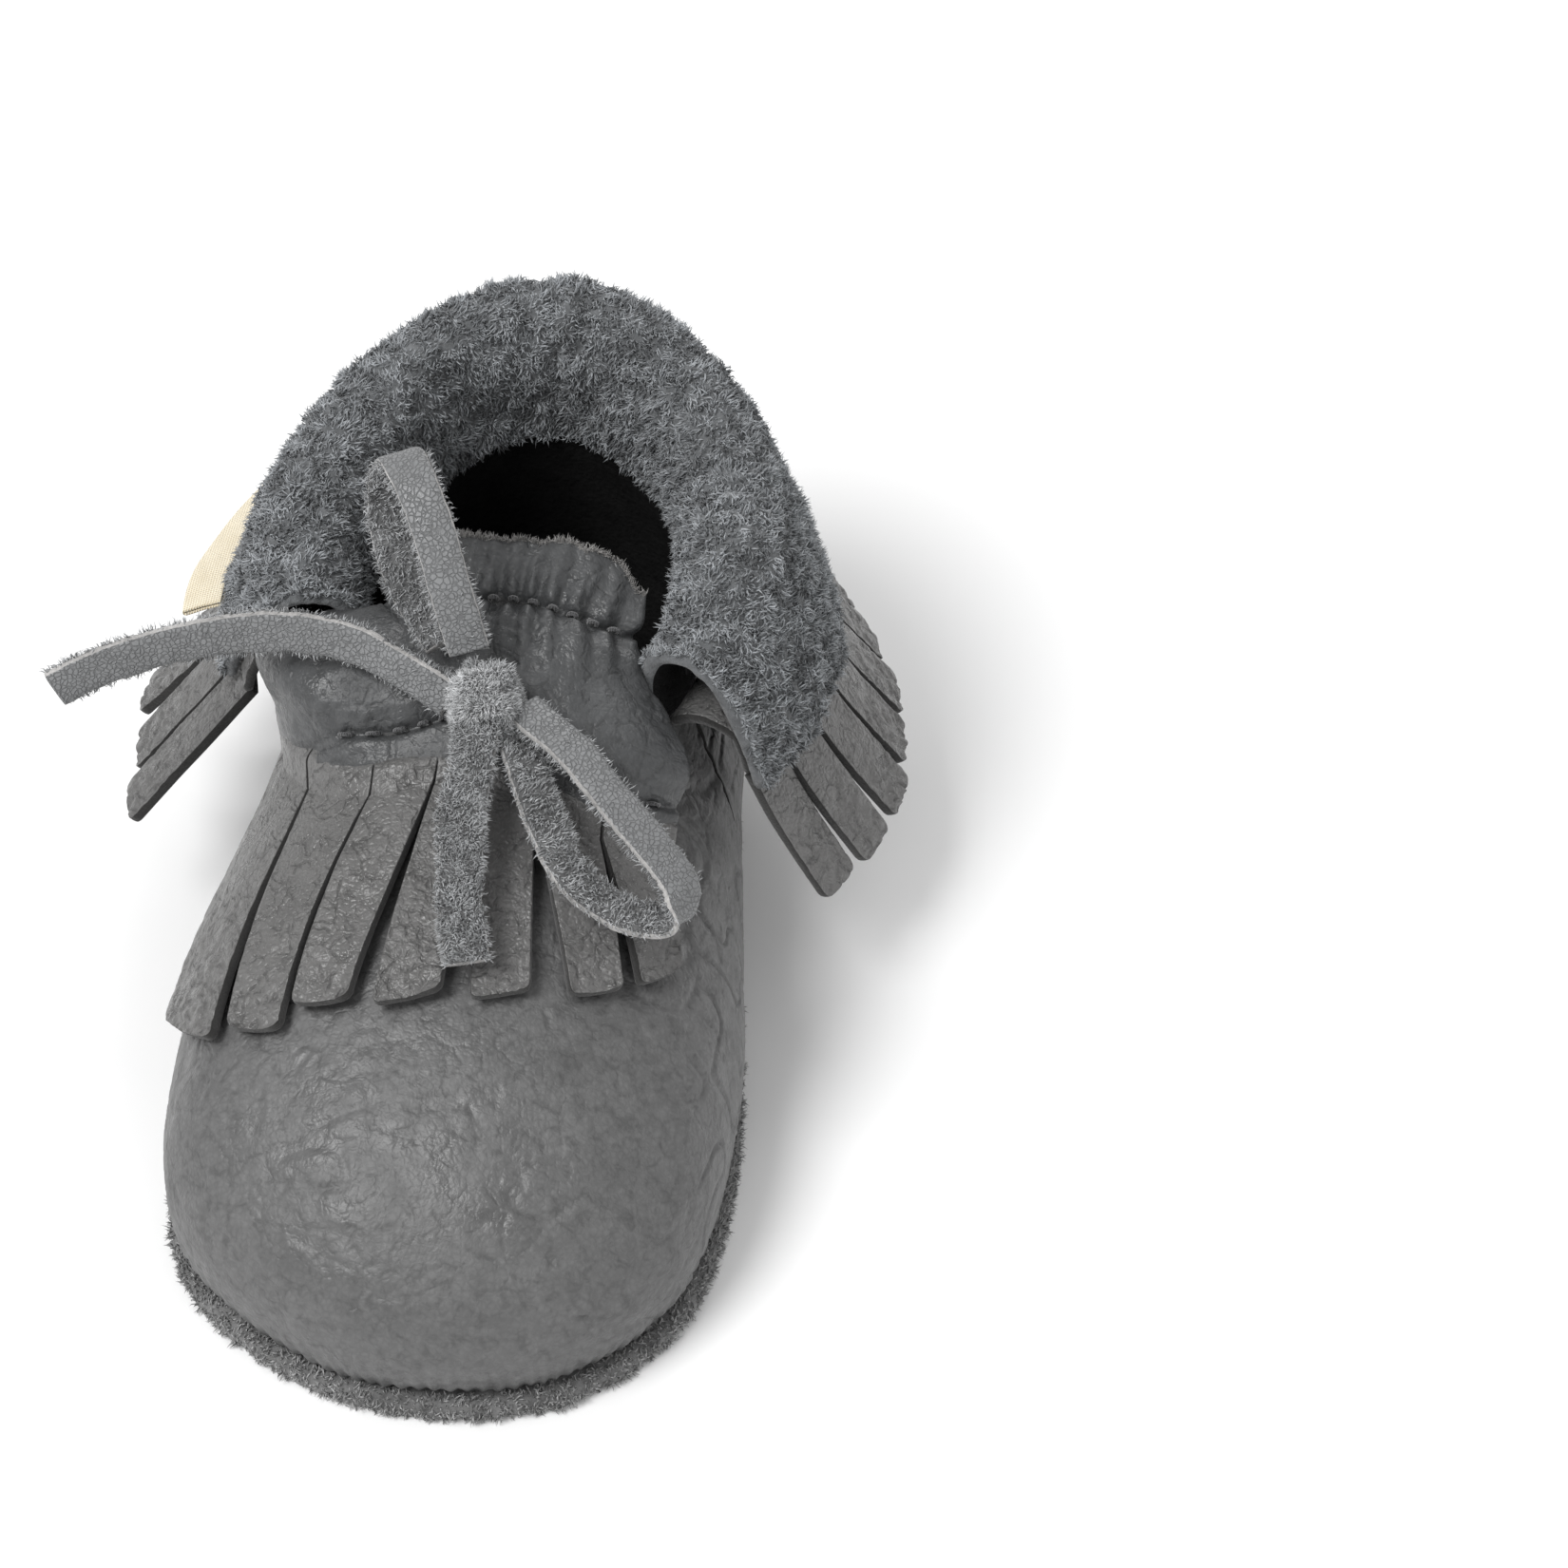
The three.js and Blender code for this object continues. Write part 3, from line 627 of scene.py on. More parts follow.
UNEVEN_GLOSS = 0.13  # how far the leather's roughness strays from its mean


def leather(name, value, roughness, pebble=0.8, crease=2.6, depth=0.16, warmth=0.0, creased=0.55,
            pebbled=0.22, swollen=1.1, furrow=0.34):
    """Dyed leather, grain side: broken creases, pebbles, pores, mottled dye, painted shade in the
    furrows, creases and hollows, and uneven gloss.
    pebble and crease are sizes in mm; creased, pebbled and swollen say how much each shape counts."""
    material, tree, surface = blank_material(
        name, {"Specular IOR Level": 0.5, "Sheen Weight": 0.04, "Sheen Roughness": 0.5},
    )
    place = object_place(tree, 0.9)
    bent = object_place(tree, 3.2, 3.6)
    grain = furrows(tree, place, pebble, furrow)
    kept = mapped(tree, noise_node(tree, place, 2.6, 3), 0.42, 0.58)
    cells = math_node(tree, "MAXIMUM", furrows(tree, bent, crease, 0.13), kept)
    pores = noise_node(tree, place, 0.25, 2)
    swell = noise_node(tree, place, 1.3, 5)
    patches = noise_node(tree, place, 6, 5)
    height = weighted(tree, [(grain, pebbled), (cells, creased), (pores, 0.3), (swell, swollen)])
    bump = add(tree, "ShaderNodeBump", {"Height": height, "Distance": depth * MM, "Strength": 0.9})
    tree.links.new(bump.outputs[0], surface.inputs["Normal"])
    dyed = mix_colour(tree, patches, grey(value * 0.7, warmth), grey(value * 1.32, warmth))
    # Painted shade: the lower the relief, in the furrows, creases and hollows of the swell, the darker
    # the colour.
    raised = weighted(tree, [(cells, 0.4 * creased), (grain, 0.6 * pebbled), (swell, 0.7)])
    colour = mix_colour(tree, mapped(tree, raised, 0.3, 0.75), grey(value * 0.6, warmth), dyed)
    tree.links.new(colour, surface.inputs["Base Color"])
    uneven = mapped(tree, patches, 0.35, 0.65, roughness - UNEVEN_GLOSS, roughness + UNEVEN_GLOSS)
    tree.links.new(uneven, surface.inputs["Roughness"])
    return material


def suede(name, value, warmth=0.0, depth=0.35, size=0.7, sheen=0.25):
    """Napped leather under the fibres: soft pits, darkened by painted shade, and random patches of
    tone, with no gloss.
    """
    sockets = {"Roughness": 1.0, "Specular IOR Level": 0.1, "Sheen Weight": sheen,
               "Sheen Roughness": 0.6}
    material, tree, surface = blank_material(name, sockets)
    place = object_place(tree, 0.6)
    pits = noise_node(tree, place, size, 5)
    patches = noise_node(tree, place, 5, 3)
    # Colour from half pits, which paints shade into the low places of the bump, and half random patches
    # of tone.
    share = math_node(tree, "MULTIPLY", math_node(tree, "ADD", pits, patches), 0.5)
    bump = add(tree, "ShaderNodeBump", {"Height": pits, "Distance": depth * MM})
    tree.links.new(bump.outputs[0], surface.inputs["Normal"])
    steep = mapped(tree, share, 0.35, 0.65)
    colour = mix_colour(tree, steep, grey(value * 0.55, warmth), grey(value * 1.35, warmth))
    tree.links.new(colour, surface.inputs["Base Color"])
    return material


NAP_ROOT = 0.42  # tone of a fibre's root, and of its tip
NAP_TIP = 1.75


def nap(name, value, warmth):
    """The fibres: darker at the root, lighter at the tip, each with its own tone."""
    material, tree, surface = blank_material(
        name, {"Roughness": 0.85, "Specular IOR Level": 0.25, "Sheen Weight": 0.2},
    )
    tone = add(tree, "ShaderNodeAttribute", attribute_name="tone").outputs["Fac"]
    colour = mix_colour(tree, tone, grey(value * NAP_ROOT, warmth), grey(value * NAP_TIP, warmth))
    tree.links.new(colour, surface.inputs["Base Color"])
    return material


YARN_SCALE = 0.314  # sets the yarns one pitch apart


def woven(name, light, dark, pitch):
    """Plain weave of two sets of yarns, pitch mm apart."""
    material, tree, surface = blank_material(name, {"Roughness": 0.85, "Sheen Weight": 0.3})
    place = object_place(tree, 0.06)
    yarns = []
    spacing = {"Vector": place, "Scale": YARN_SCALE / (pitch * MM), "Distortion": 0.4}
    for direction in ("X", "Y"):
        wave = add(tree, "ShaderNodeTexWave", spacing, bands_direction=direction)
        yarns.append(wave.outputs["Fac"])
    height = math_node(tree, "MAXIMUM", *yarns)
    bump = add(tree, "ShaderNodeBump", {"Height": height, "Distance": 0.15 * MM})
    tree.links.new(bump.outputs[0], surface.inputs["Normal"])
    stain = noise_node(tree, place, 4, 3)
    share = math_node(tree, "MULTIPLY", height, math_node(tree, "ADD", stain, 0.5))
    tree.links.new(mix_colour(tree, share, dark, light), surface.inputs["Base Color"])
    return material


VAMP_GRAIN = leather("vamp_grain", 0.125, 0.48, crease=3.4, depth=0.12, creased=0.45, swollen=0.7)
# Grain for the tongue, made darker than the vamp's to paint the shade that lies over the tongue.
SHADED_FLAP_GRAIN = leather("flap_grain_shaded", 0.07, 0.4, crease=3.0, depth=0.16, warmth=-0.03)
FRINGE_GRAIN = leather("fringe_grain", 0.12, 0.34, crease=2.2, depth=0.2, warmth=0.015, creased=0.9,
                       pebbled=0.4, swollen=0.6)
LACE_GRAIN = leather("lace_grain", 0.2, 0.44, pebble=0.6, depth=0.16, warmth=-0.02, creased=0,
                     pebbled=0.7, swollen=0.8, furrow=0.17)
CUT_EDGE = suede("cut_edge", 0.022, 0.04, depth=0.12, size=0.35)
LACE_EDGE = suede("lace_edge", 0.36, 0.02, depth=0.15, size=0.4)
FLESH = suede("flesh_side", 0.07, 0.0)
LACE_FLESH = suede("lace_flesh", 0.12, -0.01)
# Near-black suede for every inner face and the insole: painted shade for the deep, unlit inside of the
# shoe.
INSIDE_SHADE = suede("inside_painted_shade", 0.014, sheen=0.0)
CUFF_SUEDE = suede("cuff_suede", 0.13, -0.04, depth=0.5, size=0.9)
SOLE_SUEDE = suede("sole_suede", 0.16, 0.0)
CUFF_NAP = nap("cuff_nap", 0.25, -0.045)
LACE_NAP = nap("lace_nap", 0.34, -0.02)
KNOT_NAP = nap("knot_nap", 0.46, -0.015)
EDGE_NAP = nap("edge_nap", 0.2, 0.03)
SOLE_NAP = nap("sole_nap", 0.27, 0.0)
ELASTIC = woven("elastic_weave", (0.03, 0.03, 0.032, 1), (0.01, 0.01, 0.01, 1), 0.6)
LABEL_WEAVE = woven("label_weave", (0.92, 0.84, 0.66, 1), (0.62, 0.5, 0.3, 1), 0.35)
THREAD = woven("thread_ply", (0.09, 0.09, 0.095, 1), (0.03, 0.03, 0.03, 1), 0.3)


# ---- Camera, light and floor ----
VIEW_AZIMUTH = math.radians(6.37)
VIEW_ELEVATION = math.radians(46)
VIEW_DISTANCE = 600.0
VIEW_TARGET = np.array([32.9, 17.6, 25.0])  # between this shoe and where its mate would stand
VIEW_LENS = 113.0

LIGHTS = {  # place in metres, diameter in metres and power in watts
    "key": ((-0.42, -0.38, 0.88), 0.5, 8.2),
    "fill": ((0.7, -0.6, 0.5), 0.8, 1.2),
    "back": ((0.1, 0.9, 0.6), 0.6, 3.0),
}
LIGHT_TARGET = (0, 0.01, 0.02)
WORLD_STRENGTH = 0.55
FLOOR_REACH = 2500.0
FLOOR_WHITE = 0.93


def put_facing(name, data, place, back):
    """A camera or light at a place in metres, looking the opposite way from the direction back."""
    right = unit(np.cross((0, 0, 1), back))
    axes = np.column_stack([right, np.cross(back, right), back])
    holder = bpy.data.objects.new(name, data)
    holder.matrix_world = Matrix.Translation(place) @ Matrix(axes.tolist()).to_4x4()
    bpy.context.scene.collection.objects.link(holder)
    return holder


def make_camera():
    flat = math.cos(VIEW_ELEVATION)
    back = np.array([math.sin(VIEW_AZIMUTH) * flat, -math.cos(VIEW_AZIMUTH) * flat,
                     math.sin(VIEW_ELEVATION)])
    camera = bpy.data.cameras.new("camera")
    camera.lens = VIEW_LENS
    camera.clip_start = 0.01
    place = (VIEW_TARGET + back * VIEW_DISTANCE) * MM
    bpy.context.scene.camera = put_facing("camera", camera, place, back)


def area_light(name, place, size, power):
    light = bpy.data.lights.new(name, "AREA")
    light.shape = "DISK"
    light.size = size
    light.energy = power
    put_facing(name, light, place, unit(np.array(place) - np.array(LIGHT_TARGET)))


def make_studio():
    for name, settings in LIGHTS.items():
        area_light(name, *settings)
    world = bpy.data.worlds.new("studio")
    world.use_nodes = True
    background = world.node_tree.nodes["Background"]
    background.inputs["Color"].default_value = (1, 1, 1, 1)
    background.inputs["Strength"].default_value = WORLD_STRENGTH
    bpy.context.scene.world = world
    bpy.context.scene.view_settings.view_transform = "Standard"
    corners = np.array([(-1, -1, 0), (1, -1, 0), (1, 1, 0), (-1, 1, 0)]) * FLOOR_REACH
    material, _, _ = blank_material("floor", {"Base Color": grey(FLOOR_WHITE), "Roughness": 0.7})
    mesh_piece("floor", corners, [np.array([[0, 1, 2, 3]])], [material])


# ---- Lace ----
LACE_SIDES = 28


def lace_rings(route, side_start, side_end, seed):
    """Rings of a flat thong along a route, its centre line, and the way its flesh side faces."""
    line = curve_point(np.array(route, float) + KNOT, np.linspace(0, 1, 400))
    lengths = np.concatenate([[0], np.cumsum(np.linalg.norm(np.diff(line, axis=0), axis=-1))])
    share = spread_over(lengths[-1], FINE)
    line = np.stack([np.interp(share * lengths[-1], lengths, line[:, k]) for k in range(3)], axis=-1)
    tangent = unit(np.gradient(line, axis=0))
    side = lerp(np.array(side_start, float), np.array(side_end, float), share[:, None])
    side = unit(side - tangent * (side * tangent).sum(-1, keepdims=True))
    normal = np.cross(tangent, side)
    turn = np.linspace(0, 2 * np.pi, LACE_SIDES, endpoint=False)
    wide = np.sign(np.cos(turn)) * np.abs(np.cos(turn)) ** 0.45 * LACE_WIDTH / 2
    high = np.sign(np.sin(turn)) * np.abs(np.sin(turn)) ** 0.7 * LACE_THICKNESS / 2
    waver = 1 + 0.05 * noise(line + seed, 5)
    rings = line[:, None] + (wide[None, :] * waver[:, None])[..., None] * side[:, None]
    rings = rings + high[None, :, None] * normal[:, None]
    out = unit(rings - line[:, None])
    uneven = 0.12 * noise(rings + seed, 1.6) + 0.05 * crackle(rings, 0.7, seed)
    rings = rings + out * uneven[..., None]
    return rings, line, normal


def lace_piece(name, rings):
    """One stretch of lace: flesh on the face that its normal points from, grain on the other."""
    points, walls, fans = swept(rings)
    turn = (np.arange(len(walls)) % LACE_SIDES + 0.5) / LACE_SIDES
    edge = np.abs(np.cos(2 * np.pi * turn)) > 0.93
    marks = np.where(edge, 2, np.where(np.sin(2 * np.pi * turn) > 0, 1, 0))
    marks = np.concatenate([marks, np.full(len(fans), 2)])
    return mesh_piece(name, points, [walls, fans], [LACE_GRAIN, LACE_FLESH, LACE_EDGE], marks)


def lace_nap(name, rings, line, normal, count, material):
    """Fibres on the flesh face and along the cut edges of a stretch of lace."""
    ring = np.concatenate([rings, rings[:, :1]], axis=1)
    middle = ring[:-1, :-1] - line[:-1, None]
    facing = (middle * normal[:-1, None]).sum(-1) / (LACE_THICKNESS / 2)
    roots, normals = scatter(ring, count, np.where(facing > -0.2, 1.0, 0.005))
    return nap_piece(name, roots, -normals, 1.0, 0.08, material, lie=1.1, tuft=1.3)


def lace_stretch(name, route, sides, fibres, nodes, seed, material=LACE_NAP):
    rings, line, normal = lace_rings(route, *sides, seed)
    piece = settle(lace_piece(name, rings), nodes)
    fuzz = settle(lace_nap(name + "_nap", rings, line, normal, fibres, material))
    return piece, fuzz, line


def free_tail(name, route, sides, fibres, seed):
    piece, fuzz, line = lace_stretch(name + "_thong", route, sides, fibres, [name], seed)


LOOP_SIDE_LEFT = (0.93, 0.3, 0.2)  # the way each loop's width runs
LOOP_SIDE_RIGHT = (-0.48, -0.88, 0.04)
WRAP_FIBRES = 5200
KNOT_FROM = math.radians(-30)
KNOT_TO = math.radians(210)


def knot_wrap(name, across, over, side, seed):
    """A band of lace over the knot: an arc from one side (across) over the top (over)."""
    angles = np.linspace(KNOT_FROM, KNOT_TO, 9)
    route = [math.cos(angle) * across + math.sin(angle) * over for angle in angles]
    return lace_stretch(name, route, (side, side), WRAP_FIBRES, [], seed, KNOT_NAP)[0]


def make_lace():
    free_tail("lace_tail_left", LACE_TAIL_LEFT, ((0, 0.3, 0.95), (0, 0.15, 0.99)), 3600, 3)
    free_tail("lace_tail_front", LACE_TAIL_FRONT, ((1, 0, 0), (1, 0.05, 0)), 5200, 5)
    lace_stretch("lace_loop_left_thong", LACE_LOOP_LEFT, (LOOP_SIDE_LEFT,) * 2, 3600,
                 ["lace_loop_left"], 7)
    lace_stretch("lace_loop_right_thong", LACE_LOOP_RIGHT, (LOOP_SIDE_RIGHT,) * 2, 4200,
                 ["lace_loop_right"], 9)
    slope = np.array([0, math.cos(INSTEP_SLOPE), math.sin(INSTEP_SLOPE)])
    over = np.array([0, -math.sin(INSTEP_SLOPE), math.cos(INSTEP_SLOPE)])
    slanted = unit(np.array([1.0, 0, 0]) + 0.3 * slope)
    level = np.cross(over, slanted)
    outer = knot_wrap("lace_knot_wrap", 3.2 * slanted, 5.9 * over, -level, 13)
    knot_wrap("lace_knot_core", 3.4 * level, 5.3 * over, slanted, 15)
    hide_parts("lace_knot")


# ---- Sole ----
OUTLINE_LENGTH = 330.0  # once round the sole
SOLE_FIBRES = 9000


def plate_piece(name, profile, roughness, materials, seed):
    """A plate with the sole's outline. The profile is a list of (inset from the upper's foot, z),
    from the middle of the underside, round the rim, to the middle of the top."""
    around = spread_over(OUTLINE_LENGTH, FINE * 1.6)[:-1]
    foot = foot_point(around)
    outward = outward_at(around)
    rings = []
    for inset, z in profile:
        ring = foot - outward * inset if inset < 12 else foot * (1 - (inset - 6) / 40)
        ring[:, 2] = z
        rings.append(ring)
    rings = np.stack(rings)
    rim = rings[1:-1]
    shake = noise_vector(rim + seed, 1.3, range(3)) * roughness
    shake[..., 2] *= np.where(rim[..., 2] < 0.3, 0, 0.5)
    rings[1:-1] += shake
    points, walls, fans = swept(rings)
    return mesh_piece(name, points, [walls, fans], materials), rings


def make_sole():
    lip = -SOLE_LIP
    high = SOLE_THICKNESS
    profile = [(30, 0), (10, 0), (3, 0), (lip + 1, 0), (lip + 0.3, 0.25), (lip, 0.8), (lip, high - 0.9),
               (lip + 0.3, high - 0.3), (lip + 1, high), (lip + 2, high), (4, high), (30, high)]
    piece, rings = plate_piece("sole_plate", profile, 0.4, [SOLE_SUEDE], 21)
    settle(piece, ["outsole"])
    rim = np.concatenate([rings[4:10], rings[4:10, :1]], axis=1)
    roots, normals = scatter(rim, SOLE_FIBRES)
    roots = roots + RANDOM.normal(size=roots.shape) * 0.05
    fibres = nap_piece("sole_nap", roots, -normals, 1.0, 0.1, SOLE_NAP, lie=1.2, tuft=1.1,
                       drift=(0, 0, 0.1))
    settle(fibres)
    low = SOLE_THICKNESS + GAP
    top = low + INSOLE_THICKNESS
    inset = INSOLE_INSET
    profile = [(30, low), (inset + 1, low), (inset, low + 0.5), (inset, top - 0.5),
               (inset + 0.5, top - 0.1), (inset + 2, top), (11, top - 0.3), (20, top - 0.5),
               (30, top - 0.5)]
    pad, _ = plate_piece("insole_pad", profile, 0.1, [INSIDE_SHADE], 23)
    settle(pad, ["insole"])


# ---- Upper ----
def leather_relief(points, seed, folds=0.35, creases=0.16, pebbles=0.07):
    """Height in mm of soft folds, creases and pebbles over a stretch of leather."""
    soft = folds * (0.65 * noise(points, 9, seed) + 0.35 * noise(points, 3.5, seed + 1))
    shaken = points + 1.5 * noise_vector(points, 3.1, range(seed + 2, seed + 5))
    kept = smoothstep(noise(points, 4.5, seed + 12), -0.25, 0.25)
    lines = creases * kept * (crackle(shaken, 3.6, seed + 5) - 1)
    return soft + lines + pebbles * (crackle(shaken, 0.95, seed + 8) - 1)


def wrinkles(points, seed):
    """Long creases that run across the toes, deepest on the inner side, in mm."""
    stretched = points * np.array([0.3, 1, 1]) + 1.2 * noise(points, 6, seed)[..., None]
    line = smoothstep(np.abs(noise(stretched, 5, seed + 1)), 0, 0.16) - 1
    share = smoothstep(noise(points, 14, seed + 2) + 0.03 * points[..., 0], -0.3, 0.6)
    return 0.3 * share * line


SEAM_GAP = 0.0017  # between vamp and quarter, as a share of the way round; their edges bulge into it


def make_upper():
    """Vamp and quarter, with fine gathers where they are turned in over the sole."""
    materials = [VAMP_GRAIN, INSIDE_SHADE, CUT_EDGE]
    parts = {  # start and finish round the sole, length and height in mm, and seed
        "vamp": (-SIDE_SEAM, SIDE_SEAM, 165, 56, 31),
        "quarter": (SIDE_SEAM + SEAM_GAP, 1 - SIDE_SEAM - SEAM_GAP, 125, 40, 47),
    }
    for node, (start, finish, length, height, seed) in parts.items():
        around = lerp(start, finish, spread_over(length, FINE))[:, None]
        rise = spread_over(height, FINE)[None, :]
        surface = upper_point(around, rise)
        middle = surface - grid_normals(surface) * LEATHER / 2
        gathers = 0.16 * np.sin(around * 900 + 2.5 * noise(middle, 4, seed)) * bell(rise, 0.09)
        tuck = -0.5 * bell(rise, 0.035)
        relief = leather_relief(middle, seed, folds=0.3, creases=0.14, pebbles=0.05)
        relief = relief + wrinkles(middle, seed) + gathers + tuck
        piece, _, _ = thick_sheet(node + "_leather", middle, relief, LEATHER, materials)
        settle(piece, [node])


# ---- Cuff ----
CUFF_LENGTH = 190.0
CUFF_LEAF = 52.0
CUFF_FIBRES = 54000
CUFF_NAP_PARTS = 3
CUFF_EDGE_FIBRES = 1300  # along each edge


def make_cuff():
    share = spread_over(CUFF_LENGTH, FINE * 1.5)[:, None]
    along = spread_over(CUFF_LEAF, FINE * 1.5)[None, :]
    middle = cuff_leaf(share, along)
    relief = 0.4 * noise(middle, 5, 61) + 0.6 * noise(middle, NAP_CLUMP, NAP_SEED)
    relief = relief + 0.2 * noise(middle, 0.8, 63)
    piece, outer, _ = thick_sheet("cuff_suede_sheet", middle, relief, SUEDE,
                                  [CUFF_SUEDE, INSIDE_SHADE, CUFF_SUEDE], rounding=0.5)
    settle(piece, ["cuff"])
    kept = 1
    cuts = np.linspace(0, len(outer) - 1, CUFF_NAP_PARTS + 1).astype(int)
    for k in range(CUFF_NAP_PARTS):
        count = int(CUFF_FIBRES * kept / CUFF_NAP_PARTS)
        roots, normals = scatter(outer[cuts[k]:cuts[k + 1] + 1], count)
        # pits paints shade into the nap over the hollows of the relief.
        fibres = nap_piece(f"cuff_nap_{k + 1}", roots, normals, 1.35, 0.12, CUFF_NAP, lie=1.5,
                           tuft=1.3, pits=0.45)
        settle(fibres)
    lower = outer[:, :1] - np.array([0, 0, 0.4])
    strips = [np.concatenate([lower, outer[:, :1]], axis=1), outer[:2], outer[-2:]]
    found = [scatter(strip, CUFF_EDGE_FIBRES) for strip in strips]
    roots, normals = (np.concatenate(parts) for parts in zip(*found))
    settle(nap_piece("cuff_edge_nap", roots, normals, 1.3, 0.14, CUFF_NAP, tuft=1.0))


# ---- Tongue ----
GATHER_UP = 0.73
FLAP_LENGTH = 50.0
FLAP_WIDTH = 52.0
FLAP_FOOT = 0.085  # height on the flap where its sheet runs into the strands
SEAM_LEFT = -0.55  # where the seam above the strands starts, as a place across
LINING_DEPTH = 3.6  # from the tongue's middle to its lining's
LINING_THICKNESS = 1.1
RIM_FIBRES = 1100  # along each edge of the rim
RIM_CORNER = 0.13  # how far the tongue's rim drops at its rounded corners


def seam_up(across):
    """Height on the flap of the seam above the front fringe."""
    return 0.2 + 0.045 * np.cos(np.pi * across)


def flap_relief(across, up, points):
    """Pillows between the two seams, with puckers that run away from the gathers."""
    from_gather = (up - GATHER_UP) * FLAP_LENGTH
    from_seam = (up - seam_up(across)) * FLAP_LENGTH
    sewn = smoothstep(across, SEAM_LEFT - 0.08, SEAM_LEFT + 0.04)
    sway = across * 15 + 0.9 * noise(points, 5, 71)
    ripples = np.sin(sway * 2.3 + 1.6 * noise(points, 6, 72))
    away = np.abs(from_gather)
    puckers = 0.8 * ripples * np.exp(-away / 6.5) * smoothstep(away, 0, 1.2)
    pinch = -1.0 * bell(from_gather, 0.9) - 0.9 * sewn * bell(from_seam, 0.8)
    pillow = 1.0 * smoothstep(from_seam, 0.4, 5) * smoothstep(-from_gather, 0.4, 5)
    band = 0.5 * smoothstep(from_gather, 0.5, 3)
    lines = 0.35 * sewn * ripples * np.exp(-np.abs(from_seam) / 2.5) * smoothstep(from_seam, 0.2, 1.5)
    slant = (across - SEAM_LEFT) * 18 - from_seam  # a fold that runs down and out from the seam's end
    fold = -0.8 * bell(slant, 1.3) * (1 - sewn) * smoothstep(-from_seam, -2, 2)
    foot = -0.2 * bell((up - FLAP_FOOT) * FLAP_LENGTH, 1.0)
    grain = leather_relief(points, 73, folds=0.7, creases=0.2, pebbles=0.03)
    return puckers + pinch + pillow + band + lines + fold + foot + grain


def make_tongue():
    across = lerp(-1, 1, spread_over(FLAP_WIDTH, FINE * 0.9))[:, None]
    ragged = 0.012 * noise(across[..., None] * np.array([9.0, 0, 0]), 1)
    top = 1 - RIM_CORNER * smoothstep(np.abs(across), 0.6, 1) ** 2 + ragged
    up = lerp(FLAP_FOOT, top, spread_over(FLAP_LENGTH, FINE * 0.9)[None, :])
    middle = flap_surface(across, up)
    relief = flap_relief(across, up, middle)
    # The tongue's outer face takes the darker grain: painted shade.
    piece, outer, inner = thick_sheet("tongue_leather", middle, relief, LEATHER,
                                      [SHADED_FLAP_GRAIN, FLESH, CUT_EDGE])
    settle(piece, ["tongue_flap"])
    lining_across = lerp(-0.88, 0.93, spread_over(28, FINE * 2))[:, None]
    top = 0.995 - RIM_CORNER * smoothstep(np.abs(lining_across), 0.6, 1) ** 2
    lining = flap_surface(lining_across, lerp(0.36, top, spread_over(34, FINE * 2)[None, :]))
    lining = lining - grid_normals(lining) * LINING_DEPTH
    swell = 0.3 * noise(lining, 6, 81) + 0.1 * noise(lining, 1.2, 82)
    backing, _, under = thick_sheet("tongue_lining_suede", lining, swell, LINING_THICKNESS,
                                    [FLESH, INSIDE_SHADE, CUT_EDGE])
    settle(backing, ["tongue_lining"])
    rims = [outer[:, -3:], inner[:, -3:], under[:, -3:]]
    roots = np.concatenate([scatter(rim, RIM_FIBRES)[0] for rim in rims])
    normals = unit(np.array([0, 0.35, 0.9]) + 0.3 * RANDOM.normal(size=roots.shape))
    fibres = nap_piece("tongue_rim_nap", roots, normals, 0.9, 0.07, EDGE_NAP, tuft=1.2)
    settle(fibres)


# ---- Fringe ----
CORNER = 0.9  # radius of a strand's corners
CORNER_ROWS = 7  # rows of points round a corner
STRAND_FINE = FINE * 0.85


def strand_rows(length):
    """Shares along a strand, closer together round its corners."""
    straight = 1 - CORNER / length
    rows = straight * spread_over(length - CORNER, STRAND_FINE)
    turned = straight + (1 - straight) * np.sin(np.linspace(0, np.pi / 2, CORNER_ROWS + 1))[1:]
    return np.concatenate([rows, turned])


def corner_inset(way, length):
    """How far a strand's edge draws in, in mm, round the corners at its tip."""
    into = np.clip((way * length - (length - CORNER)) / CORNER, 0, 1)
    return CORNER * (1 - np.sqrt(1 - into ** 2))


def strand_relief(points, way, seed):
    """Creases and a crinkled end."""
    end = smoothstep(way, 0.35, 0.9)
    soft = 0.25 * noise(points, 5, seed)
    shaken = points + 1.3 * noise_vector(points, 2.2, range(seed + 1, seed + 4))
    kept = smoothstep(noise(points, 3.2, seed + 12) + end, -0.2, 0.5)
    lines = lerp(0.1, 0.28, end) * kept * (crackle(shaken, 2.8, seed + 4) - 1)
    crinkle = lerp(0.04, 0.13, end) * noise(points, 1.1, seed + 7)
    return soft + lines + crinkle + 0.04 * (crackle(shaken, 0.85, seed + 8) - 1)


def strand_piece(name, middle, way, seed):
    """A strand's sheet. Round its corners the points bunch up, so they take the normals above."""
    across = np.abs(np.linspace(-1, 1, len(middle)))[:, None]
    relief = strand_relief(middle, way, seed) * (1 - 0.6 * smoothstep(across, 0.8, 1))
    normals = grid_normals(middle)
    normals[:, -CORNER_ROWS:] = normals[:, [-CORNER_ROWS - 1]]
    piece, _, _ = thick_sheet(name + "_leather", middle, relief, FRINGE_THICKNESS,
                              [FRINGE_GRAIN, FLESH, CUT_EDGE], rounding=0.12, normals=normals)
    return piece


def hang_strand(piece, node):
    """Hides the strand's CAD node and bakes the piece's transform into its mesh."""
    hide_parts(node)
    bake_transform(piece)


# Each front strand's lift at its tip in mm, and its length as a share of the CAD strand's.
FRONT_LIFTS = (0.2, 0.0, 0.8, 0.7, 0.2, 0.3, 0.0)
FRONT_LENGTHS = (1.0, 0.95, 0.87, 0.92, 0.99, 1.05, 1.05)
FRONT_SPAN = 58.0  # width of the fringe at its tips
FRONT_LENGTH = 24.0
FRONT_TOP = 0.14  # height on the flap where the strands start, under its sheet
SLIT_START = 0.1  # where the slits between the strands start, as a share of a strand


